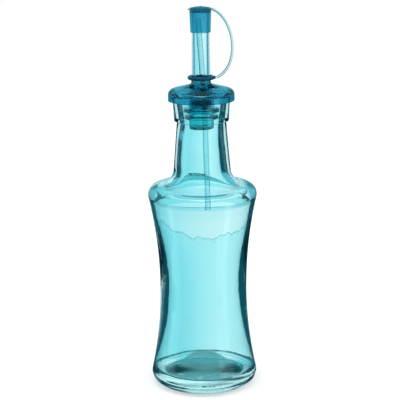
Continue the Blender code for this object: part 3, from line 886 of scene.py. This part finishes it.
def flank(b, top):
    """Points of the outer wall from just over the waist up to a height."""
    shoulder = (b.shoulder_radius, b.shoulder_height)
    return [(r, z) for r, z in bow((b.waist_radius, b.waist_height), shoulder, FLANK_STEPS) if z < top]


def upper_wall(b, z):
    """The wall's thickness over the waist, where it thins out towards the shoulder."""
    return b.wall_waist + (b.wall_upper - b.wall_waist) * eased(z, b.thick_height, b.thin_height)


def ringed(b, r, z):
    """A point of the heel drawn in by the fine rings that its mould leaves."""
    share = clamp(z / b.heel_height)
    groove = (1 - math.cos(math.tau * b.ring_count * share)) / 2
    return r - b.ring_depth * groove, z


def inner_wall(b):
    waist = (b.waist_radius - b.wall_waist, b.waist_height)
    corner = (b.shoulder_radius - b.wall_upper, b.shoulder_height - b.wall_shoulder)
    floor = b.punt_height + b.base_thickness
    edge = (b.heel_radius - b.wall_heel, floor - b.floor_drop)
    lower = bow(waist, edge, BOW_STEPS)
    upper = [(r - upper_wall(b, z), z) for r, z in flank(b, corner[1])]
    bottom = dish(floor, edge, FLOOR_STEPS)
    foot = rounded([bottom[-4], (*edge, b.inner_heel_round), lower[-4]], CORNER_STEPS)
    top = rounded(
        [
            upper[-3],
            (*corner, b.inner_shoulder_round),
            (b.neck_foot_radius - b.wall_neck, b.neck_foot_height - b.wall_shoulder, b.inner_neck_round),
            (b.throat_radius, LIP_HEIGHT - b.bore_depth, b.throat_round),
            (b.bore_radius, LIP_HEIGHT, b.lip_round),
            (b.bore_radius + 2 * b.lip_round, LIP_HEIGHT),
        ],
        CORNER_STEPS,
    )
    return bottom[:-4] + foot + lower[-5::-1] + [waist] + upper[:-3] + top[:-1]


def mark_glass(b, glass):
    """The ragged line inside the front, where the glass settled, the paler glass over it, and heel rings
    painted with highlight and groove shade.
    """
    net = Net(glass.node_tree)
    x, y, z = net.split(net.place())
    across = net.join(x, y)
    radius = net.reach(across)
    level = x * x * SETTLE_BEND + b.settle_height + x * SETTLE_SLOPE
    for scale, height in SETTLE_WAVES:
        level = level + (net.noise(across, scale) - 0.5) * height
    over = z - level
    near = net.ramp(y, *SETTLE_FRONT)
    inner = net.ramp(radius, *INNER_WALL)
    line = net.ramp(abs(over), *SETTLE_LINE) * (near * inner)
    above = net.ramp(over, *SETTLE_EDGE) * net.ramp(z, *SETTLE_FADE) * near
    colour = net.blend(above * (inner * PALE_INNER_SHARE + PALE_SHARE), b.glass_colour, (1, 1, 1))
    colour = net.blend(line * SETTLE_SHARE, colour, SETTLE_TINT)
    # Painted highlight: the heel's rings are painted nearly white, standing in for the reflections on them
    heel = net.ramp(z, *HEEL_HIGHLIGHT_TOP) * net.ramp(radius, b.foot_radius - HEEL_HIGHLIGHT_EDGE, b.foot_radius)
    colour = net.blend(heel * HEEL_HIGHLIGHT_SHARE, colour, HEEL_HIGHLIGHT_TINT)
    # Painted shade: darker colour in the grooves between the heel's rings
    turn = z * (math.tau * b.ring_count / b.heel_height)
    groove = net.ramp(net.calc("COSINE", turn), *GROOVE_SHADE_SHARES) * heel
    net.shade({"Base Color": net.blend(groove * GROOVE_SHADE_SHARE, colour, GROOVE_SHADE_TINT)})


def leaning(b, z):
    """How far the hollow stands to one side at a height, as the wall of blown glass is never even."""
    knots = [
        (b.heel_height + b.base_thickness / 2, 0.0),
        (b.waist_height * LEAN_START_SHARE, b.lean_waist),
        (b.thick_height, b.lean_waist),
        (b.thin_height, b.lean_shoulder),
        (b.shoulder_height, b.lean_shoulder),
        (b.neck_foot_height + b.inner_neck_round, b.lean_neck),
        (LIP_HEIGHT - LEAN_END_SHARE * b.bore_depth, b.lean_neck),
        (LIP_HEIGHT - b.bore_depth, 0.0),
    ]
    pairs = zip(knots, knots[1:])
    return sum((end - start) * eased(z, low, high) for (low, start), (high, end) in pairs)


def steady(b, z):
    """The share of the waves at a height: none at the foot and the mouth."""
    rise = clamp((z - b.heel_height) / b.heel_height)
    fall = clamp((LIP_HEIGHT - b.bore_depth - z) / b.bore_depth)
    return rise * fall


class CRUET_OT_bottle(Operator):
    """Makes the glass bottle"""

    bl_idname = "cruet.bottle"
    bl_label = "Bottle"

    def execute(self, context):
        b = context.scene.cruet_bottle
        inner = finely(inner_wall(b), WALL_SPACING)
        outer = finely(outer_wall(b), WALL_SPACING)
        low = b.foot_radius - 2 * b.foot_land
        wave = [steady(b, z) for r, z in inner]
        wave += [OUTER_WAVE_SHARE * steady(b, z) for r, z in outer]
        ridge = [0] * len(inner) + [1 if z < b.foot_land / 2 and r > low else 0 for r, z in outer]
        lean = [leaning(b, z) for r, z in inner] + [0] * len(outer)
        outline = line_mesh("glass_bottle", inner + outer, dict(zip(GLASS_VALUES, (wave, ridge, lean))))
        glass = see_through("aqua_glass", b, "glass")
        values = {
            "Steps": b.steps,
            "Wave height": b.wave_height,
            "Wave scale": b.wave_size,
            "Ridges": b.ridge_count,
            "Ridge height": b.ridge_height,
            "Seed": WAVE_SEED,
            "Material": glass,
        }
        mark_glass(b, glass)
        bottle = grow("cruet_bottle", outline, glass_tree(), values)
        seat(bottle, "bottle", "glass_bottle")
        return {"FINISHED"}


# The pourer


def hub_foot(p):
    """Height of the hub's foot over the lip."""
    return p.rim_edge_height + p.dome_rise


def spout_foot(p):
    """Height of the spout's foot over the lip."""
    return hub_foot(p) + p.hub_height + FIT


def spout_tip(p):
    """Height of the spout's tip over the lip."""
    return spout_foot(p) + p.spout_length


def grade_flange(p, plastic):
    """Deeper colour in the skirt and the socket; the thin hub painted lighter, a painted glow for the light
    through it.
    """
    net = Net(plastic.node_tree)
    over = net.split(net.place())[2] - LIP_HEIGHT
    colour = net.blend(net.ramp(over, *SKIRT_FADE), p.skirt_colour, p.flange_colour)
    low, high = HUB_FADE
    # Painted light: the hub is painted nearly clear so that it looks lit
    hub = net.ramp(over, hub_foot(p) + low, hub_foot(p) + high)
    net.shade({"Base Color": net.blend(hub, colour, p.hub_colour)})


class CRUET_OT_flange(Operator):
    """Makes the flange with its skirt, hub and socket"""

    bl_idname = "cruet.flange"
    bl_label = "Flange"

    def execute(self, context):
        p = context.scene.cruet_pourer
        socket_bore = p.spigot_radius + FIT
        socket_radius = socket_bore + p.socket_wall
        hub_top = hub_foot(p) + p.hub_height
        skirt_bore = p.rim_radius - p.skirt_wall
        hollow = skirt_bore - p.seat_width

        def ceiling(radius):
            share = (radius - p.hub_radius) / (p.rim_radius - p.hub_radius)
            return hub_foot(p) - p.dome_rise * share - p.dome_wall

        outline = rounded(
            [
                (socket_bore, 0),
                (socket_bore, hub_top, p.edge_round),
                (p.hub_radius, hub_top, p.edge_round),
                (p.hub_radius, hub_foot(p), p.hub_round),
                (p.rim_radius, p.rim_edge_height, p.rim_round),
                (p.rim_radius, -p.skirt_depth, p.edge_round),
                (skirt_bore, -p.skirt_depth, p.edge_round),
                (skirt_bore, FIT, p.edge_round),
                (hollow, FIT, p.edge_round),
                (hollow, ceiling(hollow), p.edge_round),
                (socket_radius, ceiling(socket_radius), p.edge_round),
                (socket_radius, -p.socket_depth, p.edge_round),
                (socket_bore, -p.socket_depth, p.edge_round),
                (socket_bore, 0),
            ]
        )
        plastic = see_through("blue_plastic", p, "flange")
        grade_flange(p, plastic)
        flange = turned("cruet_flange", outline, FLANGE_FACETS, plastic, LIP_HEIGHT)
        seat(flange, "pourer", "pourer_flange")
        return {"FINISHED"}


class CRUET_OT_spout(Operator):
    """Makes the clear spout"""

    bl_idname = "cruet.spout"
    bl_label = "Spout"

    def execute(self, context):
        p = context.scene.cruet_pourer
        bore = p.spigot_radius - p.spigot_wall
        outline = rounded(
            [
                (bore, 0),
                (p.spout_tip_radius - p.spout_wall, p.spout_length, p.edge_round),
                (p.spout_tip_radius, p.spout_length, p.edge_round),
                (p.spout_foot_radius, 0, p.edge_round),
                (p.spigot_radius, 0),
                (p.spigot_radius, -p.spigot_length, p.edge_round),
                (bore, -p.spigot_length, p.edge_round),
                (bore, 0),
            ]
        )
        plastic = see_through("clear_plastic", p, "spout")
        spout = turned("cruet_spout", outline, SMALL_FACETS, plastic, LIP_HEIGHT + spout_foot(p))
        seat(spout, "pourer", "spout_tube")
        return {"FINISHED"}


def drills(p, middle):
    """Cutters for the straw's hole and the pour holes, at a height over the lip."""
    shape = bmesh.new()
    places = [(straw_offset(p, middle), 0, p.straw_radius + FIT)]
    for angle in POUR_HOLE_ANGLES:
        turn = math.radians(angle)
        offset = p.pour_hole_offset
        places.append((offset * math.cos(turn), offset * math.sin(turn), p.pour_hole_radius))
    for x, y, radius in places:
        spot = Matrix.Translation((x, y, LIP_HEIGHT + middle))
        size = {"radius1": radius, "radius2": radius, "depth": 2 * p.sleeve_floor}
        bmesh.ops.create_cone(shape, cap_ends=True, segments=SECTION_STEPS, matrix=spot, **size)
    return formed("drills", shape)


class CRUET_OT_stopper(Operator):
    """Makes the ribbed stopper"""

    bl_idname = "cruet.stopper"
    bl_label = "Stopper"

    def execute(self, context):
        p = context.scene.cruet_pourer
        b = context.scene.cruet_bottle
        socket_radius = p.spigot_radius + 2 * FIT + p.socket_wall
        sleeve_bore = p.sleeve_radius - p.sleeve_wall
        foot = -p.sleeve_length
        floor = foot + p.sleeve_floor
        step = -p.socket_depth - FIT
        top = FIT + p.stopper_cap_height
        outline = rounded(
            [
                (0, floor),
                (sleeve_bore, floor, p.edge_round),
                (sleeve_bore, step, p.edge_round),
                (socket_radius, step, p.edge_round),
                (socket_radius, top, p.edge_round),
                (p.stopper_cap_radius, top, p.edge_round),
                (p.stopper_cap_radius, FIT, p.edge_round),
                (p.sleeve_radius, FIT, p.edge_round),
                (p.sleeve_radius, foot, p.edge_round),
                (0, foot),
            ],
            STOPPER_STEPS,
        )
        plastic = see_through("teal_soft_plastic", p, "stopper")
        stopper = turned("cruet_stopper", outline, SMALL_FACETS, plastic, LIP_HEIGHT)
        values = {
            "Ribs": p.rib_count,
            "Drop": p.rib_drop,
            "Pitch": p.rib_pitch,
            "Height": p.rib_height,
            "Root": p.sleeve_radius - p.sleeve_wall / 2,
            "Mouth": b.bore_radius - FIT,
            "Taper": (b.bore_radius - b.throat_radius) / b.bore_depth,
            "Lip": LIP_HEIGHT,
            "Material": plastic,
        }
        combine(stopper, grow("ribs", line_mesh("ribs", [(0, 0), (0, 1)]), rib_tree(), values), "UNION")
        combine(stopper, drills(p, (foot + floor) / 2), "DIFFERENCE")
        seat(stopper, "pourer", "ribbed_stopper")
        return {"FINISHED"}


def straw_offset(p, height):
    """How far the straw stands off the axis at a height over the lip."""
    tip = spout_tip(p) - p.straw_setback
    share = (height - tip + p.straw_length) / p.straw_length
    return p.straw_end_offset + (p.straw_top_offset - p.straw_end_offset) * share**2


class CRUET_OT_straw(Operator):
    """Makes the breather straw"""

    bl_idname = "cruet.straw"
    bl_label = "Straw"

    def execute(self, context):
        p = context.scene.cruet_pourer
        tip = spout_tip(p) - p.straw_setback
        heights = [tip - p.straw_length * i / (STRAW_POINTS - 1) for i in range(STRAW_POINTS)]
        points = [(straw_offset(p, height), LIP_HEIGHT + height) for height in heights]
        plastic = see_through("straw_plastic", p, "straw")
        values = {"Radius": p.straw_radius, "Sides": SECTION_STEPS, "Material": plastic}
        straw = grow("cruet_straw", line_mesh("straw", points), tube_tree(), values)
        wall = straw.modifiers.new("Wall", "SOLIDIFY")
        wall.thickness = p.straw_wall
        wall.offset = -1
        fixed(straw)
        seat(straw, "pourer", "breather_straw")
        return {"FINISHED"}


# The collar, the cap and the strap


def collar_place(p, c):
    """The collar's radius, the face of its lug and its height."""
    radius = p.spout_foot_radius + FIT + c.collar_section
    return radius, radius + c.collar_section + c.lug_length, LIP_HEIGHT + spout_foot(p) + c.collar_section


class CRUET_OT_collar(Operator):
    """Makes the collar ring with its lug"""

    bl_idname = "cruet.collar"
    bl_label = "Collar"

    def execute(self, context):
        p = context.scene.cruet_pourer
        c = context.scene.cruet_cap
        radius, face, height = collar_place(p, c)
        plastic = see_through("deep_blue_plastic", c, "collar")
        section = arc((radius, 0), c.collar_section, 360, 0, SECTION_STEPS)
        collar = turned("cruet_collar", section, COLLAR_FACETS, plastic, height)
        low = (radius, -c.lug_width / 2, height - c.lug_height / 2)
        high = (face, c.lug_width / 2, height + c.lug_height / 2)
        combine(collar, block("lug", low, high, c.lug_height / 4, plastic), "UNION")
        half_width = c.peg_width / 2 + FIT
        half_height = c.peg_height / 2 + FIT
        low = (face - c.peg_depth - FIT, -half_width, height - half_height)
        high = (face + c.peg_depth, half_width, height + half_height)
        combine(collar, block("peg_socket", low, high, 0, plastic), "DIFFERENCE")
        seat(collar, "tether", "collar_ring")
        return {"FINISHED"}


class CRUET_OT_cap(Operator):
    """Makes the spout's cap"""

    bl_idname = "cruet.cap"
    bl_label = "Cap"

    def execute(self, context):
        p = context.scene.cruet_pourer
        c = context.scene.cruet_cap
        taper = (p.spout_foot_radius - p.spout_tip_radius) / p.spout_length
        bore_top = p.spout_tip_radius + FIT
        bore_mouth = bore_top + taper * c.cap_depth
        groove_floor = FIT + c.lid_thickness
        groove_roof = groove_floor + c.eye_thickness + 2 * FIT
        dome_foot = groove_roof + c.dome_edge
        dome_top = dome_foot + c.dome_rise
        dome = dish(dome_top, (c.cap_radius, dome_foot), DOME_STEPS)[2:]
        nipple_top = dome_top + c.nipple_height
        nipple = [
            (0, nipple_top),
            (c.nipple_radius, nipple_top, c.nipple_height),
            (c.nipple_radius, dome[0][1]),
            dome[0],
        ]
        skirt = [
            dome[-1],
            (c.cap_radius, groove_roof, c.dome_edge / 2),
            (c.stem_radius, groove_roof),
            (c.stem_radius, groove_floor),
            (c.cap_radius, groove_floor, p.edge_round),
            (c.cap_mouth_radius, -c.cap_depth, c.cap_round),
            (bore_mouth, -c.cap_depth, c.cap_round / 2),
            (bore_top, FIT, p.edge_round),
            (0, FIT),
        ]
        outline = rounded(nipple, EDGE_STEPS) + dome[1:-1] + rounded(skirt)
        plastic = see_through("cap_plastic", c, "cap")
        cap = turned("cruet_cap", outline, SMALL_FACETS, plastic, LIP_HEIGHT + spout_tip(p))
        seat(cap, "cap", "spout_cap")
        return {"FINISHED"}


def strap_path(c, top, face, foot):
    """Points of the bow from the cap's lid to the collar's lug."""

    def lean(reach, rise):
        return c.strap_thickness / 2 * rise / math.hypot(reach, rise)

    start = Vector((c.cap_radius + FIT + lean(c.upper_reach, c.upper_drop), top))
    end = Vector((face + FIT + lean(c.lower_reach, c.lower_rise), foot))
    upper = start + Vector((c.upper_reach, -c.upper_drop))
    lower = end + Vector((c.lower_reach, c.lower_rise))
    points = []
    for i in range(STRAP_POINTS):
        t = i / (STRAP_POINTS - 1)
        point = (1 - t) ** 3 * start + 3 * (1 - t) ** 2 * t * upper
        points.append(tuple(point + 3 * (1 - t) * t**2 * lower + t**3 * end))
    return points


def strap_eye(c, top, plastic):
    """The ring round the cap's stem."""
    bore = c.stem_radius + FIT
    high = top + c.eye_thickness / 2
    low = top - c.eye_thickness / 2
    rim = c.eye_thickness / 4
    ring = [
        (bore, top),
        (bore, high, rim),
        (bore + c.eye_width, high, rim),
        (bore + c.eye_width, low, rim),
        (bore, low, rim),
        (bore, top),
    ]
    return turned("eye", rounded(ring, EDGE_STEPS), SMALL_FACETS, plastic)


class CRUET_OT_strap(Operator):
    """Makes the strap between the cap and the collar"""

    bl_idname = "cruet.strap"
    bl_label = "Strap"

    def execute(self, context):
        p = context.scene.cruet_pourer
        c = context.scene.cruet_cap
        _, face, foot = collar_place(p, c)
        groove_floor = LIP_HEIGHT + spout_tip(p) + FIT + c.lid_thickness
        top = groove_floor + c.eye_thickness / 2 + FIT
        plastic = see_through("strap_plastic", c, "strap")
        values = {"Width": c.strap_width, "Thickness": c.strap_thickness, "Material": plastic}
        strap = grow("cruet_strap", line_mesh("strap", strap_path(c, top, face, foot)), band_tree(), values)
        combine(strap, strap_eye(c, top, plastic), "UNION")
        low = (face - c.peg_depth, -c.peg_width / 2, foot - c.peg_height / 2)
        high = (face + FIT + c.strap_thickness, c.peg_width / 2, foot + c.peg_height / 2)
        combine(strap, block("peg", low, high, 0, plastic), "UNION")
        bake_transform(strap)
        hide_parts("tether_strap")
        return {"FINISHED"}


# The stage


def make_floor(s):
    """A wide white floor; rays through or off the glass see on it the cards' painted reflections and
    refractions, and the painted shadow of the shut-in disc under the foot.
    """
    mesh = bpy.data.meshes.new("floor")
    half = s.floor_size / 2
    corners = [(-half, -half), (half, -half), (half, half), (-half, half)]
    mesh.from_pydata([(x, y, -s.floor_drop) for x, y in corners], [], [(0, 1, 2, 3)])
    material = bpy.data.materials.new("pale_floor")
    net = blank(material)
    place = net.place()
    through = net.path("Is Transmission Ray")
    bent = net.calc("MAXIMUM", through, net.path("Is Glossy Ray"))
    seen = net.calc("MAXIMUM", bent, net.path("Is Camera Ray") * s.floor_glow)
    # Painted shadow: the shut-in disc under the foot, seen only by rays that have been through the hollow
    shadow_disc = oval(net, s, place) * through * deep(net)
    # Painted reflections and refractions: rays through or off the glass see the cards' colours on the floor
    colour = net.blend(bent, (1, 1, 1), surround(net, s, place))
    colour = net.blend(shadow_disc, colour, underside(net, s, place))
    matt = net.out("ShaderNodeBsdfDiffuse", {"Color": (*s.floor_colour, 1)})
    glow = net.out("ShaderNodeEmission", {"Color": colour})
    both = net.out("ShaderNodeMixShader", {0: seen, 1: matt, 2: glow})
    net.add("ShaderNodeOutputMaterial", {"Surface": both})
    mesh.materials.append(material)
    placed("floor", mesh)


def deep(net):
    """1 for a ray that has been through the hollow of the glass."""
    return net.calc("GREATER_THAN", net.path("Transmission Depth"), HOLLOW_DEPTH)


def oval(net, s, place):
    """1 on the shut-in floor, 0 round it."""
    x, y, _ = net.split(place)
    across = x * (net.ramp(y, *OVAL_NARROWING) * OVAL_NARROWING_SHARE + 1.0) / s.shade_width
    along = (y - s.shade_back) / s.shade_depth
    return net.ramp(net.calc("SQRT", across * across + along * along), *OVAL_EDGE_SHARES)


def underside(net, s, place):
    """The painted shadow of the shut-in floor, with a dark lobe of painted reflection at each side, fine
    slanted ridges of painted highlight and a bright speck here and there as a painted glint.
    """
    x, y, _ = net.split(place)
    y = y - s.shade_back
    across = abs(x)
    # Painted reflections: a dark lobe at each side of the shut-in floor
    width = net.ramp(across, *LOBE_SPREAD) * LOBE_SWELL + LOBE_WIDTH
    width = width + (net.noise(place, LOBE_NOISE) - 0.5) * LOBE_WANDER
    strength = net.ramp(across, *LOBE_FADE) * LOBE_SIDE_SHARE + LOBE_SHARE
    dark_reflection_lobes = net.ramp(abs(y) - width, *LOBE_EDGE) * strength
    colour = net.blend(dark_reflection_lobes, s.shade, s.shade_dark)
    # Painted highlight: pale slanted ridges in a patch near the middle
    slant = (x * RIDGE_SLANT[0] - y * RIDGE_SLANT[1]) * RIDGE_RATE
    ridges = net.ramp(net.calc("SINE", slant), 0.0, 1.0)
    ridge_highlight_patch = net.ramp(abs(x - PATCH_MIDDLE), *PATCH_SIDE) * net.ramp(y, *PATCH_FRONT)
    ridge_highlight_patch = ridge_highlight_patch * net.ramp(y, *PATCH_BACK)
    colour = net.blend(ridges * ridge_highlight_patch * RIDGE_HIGHLIGHT_SHARE, colour, RIDGE_HIGHLIGHT_TINT)
    # Painted glints: a bright speck here and there near the front
    stretched = net.out("ShaderNodeVectorMath", {0: place, 1: SPECK_STRETCH}, operation="MULTIPLY")
    near = net.ramp(y, *SPECK_FRONT) * net.ramp(across, *SPECK_SIDE)
    glint_specks = net.ramp(net.noise(stretched, SPECK_NOISE), *SPECK_SHARES) * near
    return net.blend(glint_specks * SPECK_GLINT_SHARE, colour, SPECK_GLINT_TINT)


def surround(net, s, place):
    """Painted reflections and refractions that the glass shows: white through its hollow, dark through its
    thick rims.
    """
    x, y, z = net.split(place)
    turn = net.calc("ARCTAN2", x, y)
    away = net.reach(place)
    band = net.ramp(away, *BAND_NEAR) * net.ramp(away, *BAND_FAR)
    band = band + net.ramp(away, *BAND_HEEL) * BAND_HEEL_SHARE
    gaps = 0.0
    for azimuth in GAP_AZIMUTHS:
        gaps = net.calc("MAXIMUM", gaps, window(net, s, turn, math.radians(azimuth), band))
    # Painted shade: dark colours for rays through the thick rims, lighter higher up, with white gaps of
    # painted light
    rim = net.blend(net.ramp(z, *BLUE_CARD), s.card_dark, s.card_blue)
    rim = net.blend(net.ramp(z, *HIGH_CARD), rim, s.card_high)
    shine = net.calc("LESS_THAN", net.path("Transmission Depth"), 0.5)
    light = net.blend(shine, s.card_white, s.card_shine)
    rim = net.blend(gaps * net.ramp(z, *GAP_TOP), rim, light)
    # Painted light: a gradient from shaded left to white right, for rays through the hollow
    pale = net.blend(net.ramp(net.calc("SINE", turn * PALE_CARDS), *PALE_SHARES), s.card_shade, s.card_white)
    inner = net.blend(net.ramp(z, *TOP_CARD), s.card_inner, s.card_top)
    inner = net.blend(net.ramp(z, *LIFT_CARD), inner, s.card_lift)
    thrown = net.calc("GREATER_THAN", net.path("Glossy Depth"), 0.5)
    colour = net.blend(deep(net), rim, net.blend(thrown, pale, inner))
    return net.out("ShaderNodeVectorMath", {0: colour, "Scale": s.card_light}, operation="SCALE")


def window(net, s, turn, azimuth, band):
    """1 near a direction round the cruet, falling softly to 0, with less of its right side in a band."""
    off = net.calc("WRAP", turn - azimuth, math.pi, -math.pi)
    left = math.radians(s.gap_left)
    right = math.radians(s.gap_right) - band * BAND_CUT
    return net.ramp(off, left - GAP_EDGE, left + GAP_EDGE) * net.ramp(off - right, GAP_EDGE, -GAP_EDGE)


def make_cards(s):
    """A ring of glowing cards round the cruet that only its glass shows, painting its reflections and
    refractions.
    """
    material = bpy.data.materials.new("card")
    net = blank(material)
    glow = net.out("ShaderNodeEmission", {"Color": surround(net, s, net.place())})
    net.add("ShaderNodeOutputMaterial", {"Surface": glow})
    cards = turned("cards", [(s.card_radius, 0), (s.card_radius, s.card_height)], CARD_FACETS, material)
    cards.visible_camera = False
    cards.visible_diffuse = False
    cards.visible_shadow = False
    cards.visible_volume_scatter = False


def make_world(context):
    world = bpy.data.worlds.new("studio")
    context.scene.world = world
    net = blank(world)
    glow = net.out("ShaderNodeBackground", {"Color": (1, 1, 1, 1)})
    net.add("ShaderNodeOutputWorld", {"Surface": glow})


def make_lamp(name, place, width, height, energy):
    """An area lamp that shines at the cruet's middle."""
    lamp = bpy.data.lights.new(name, "AREA")
    lamp.shape = "RECTANGLE"
    lamp.size = width
    lamp.size_y = height
    lamp.energy = energy
    obj = placed(name, lamp)
    obj.location = place
    aim = LAMP_AIM - Vector(place)
    obj.rotation_euler = aim.to_track_quat("-Z", "Y").to_euler()
    return obj


def make_camera(context, s):
    data = bpy.data.cameras.new("camera")
    data.sensor_width = FRAME_WIDTH
    data.lens = s.lens
    data.clip_start, data.clip_end = CAMERA_REACH
    camera = placed("camera", data)
    tilt = Matrix.Rotation(math.radians(90 - s.camera_pitch), 4, "X")
    roll = Matrix.Rotation(math.radians(s.camera_roll), 4, "Z")
    place = Matrix.Translation((s.camera_side, -s.camera_back, s.camera_height))
    camera.matrix_world = place @ tilt @ roll
    context.scene.camera = camera


class CRUET_OT_stage(Operator):
    """Makes the floor, the dark cards round the cruet, the light and the camera"""

    bl_idname = "cruet.stage"
    bl_label = "Stage"

    def execute(self, context):
        s = context.scene.cruet_stage
        make_floor(s)
        make_cards(s)
        make_world(context)
        make_lamp("top_light", **TOP_LIGHT).visible_glossy = False
        make_lamp("side_light", **SIDE_LIGHT)
        make_camera(context, s)
        context.scene.view_settings.view_transform = "Standard"
        return {"FINISHED"}


class CRUET_PT_panel(Panel):
    bl_idname = "CRUET_PT_panel"
    bl_label = "Oil cruet"
    bl_space_type = "VIEW_3D"
    bl_region_type = "UI"
    bl_category = "Cruet"

    def draw(self, context):
        for operator in OPERATORS:
            self.layout.operator(operator.bl_idname)
        for title in GROUPS:
            group = getattr(context.scene, title)
            box = self.layout.box()
            for key in group.__annotations__:
                box.prop(group, key)


OPERATORS = (
    CRUET_OT_stage,
    CRUET_OT_bottle,
    CRUET_OT_flange,
    CRUET_OT_spout,
    CRUET_OT_stopper,
    CRUET_OT_straw,
    CRUET_OT_collar,
    CRUET_OT_cap,
    CRUET_OT_strap,
)
GROUPS = {
    "cruet_bottle": CruetBottle,
    "cruet_pourer": CruetPourer,
    "cruet_cap": CruetCap,
    "cruet_stage": CruetStage,
}


def register():
    for group in GROUPS.values():
        bpy.utils.register_class(group)
    for title, group in GROUPS.items():
        setattr(bpy.types.Scene, title, PointerProperty(type=group))
    for operator in OPERATORS:
        bpy.utils.register_class(operator)
    bpy.utils.register_class(CRUET_PT_panel)


def unregister():
    bpy.utils.unregister_class(CRUET_PT_panel)
    for operator in reversed(OPERATORS):
        bpy.utils.unregister_class(operator)
    for title, group in GROUPS.items():
        delattr(bpy.types.Scene, title)
        bpy.utils.unregister_class(group)


def main():
    register()
    bpy.ops.cruet.stage()
    bpy.ops.cruet.bottle()
    bpy.ops.cruet.flange()
    bpy.ops.cruet.spout()
    bpy.ops.cruet.stopper()
    bpy.ops.cruet.straw()
    bpy.ops.cruet.collar()
    bpy.ops.cruet.cap()
    bpy.ops.cruet.strap()


if __name__ == "__main__":
    main()
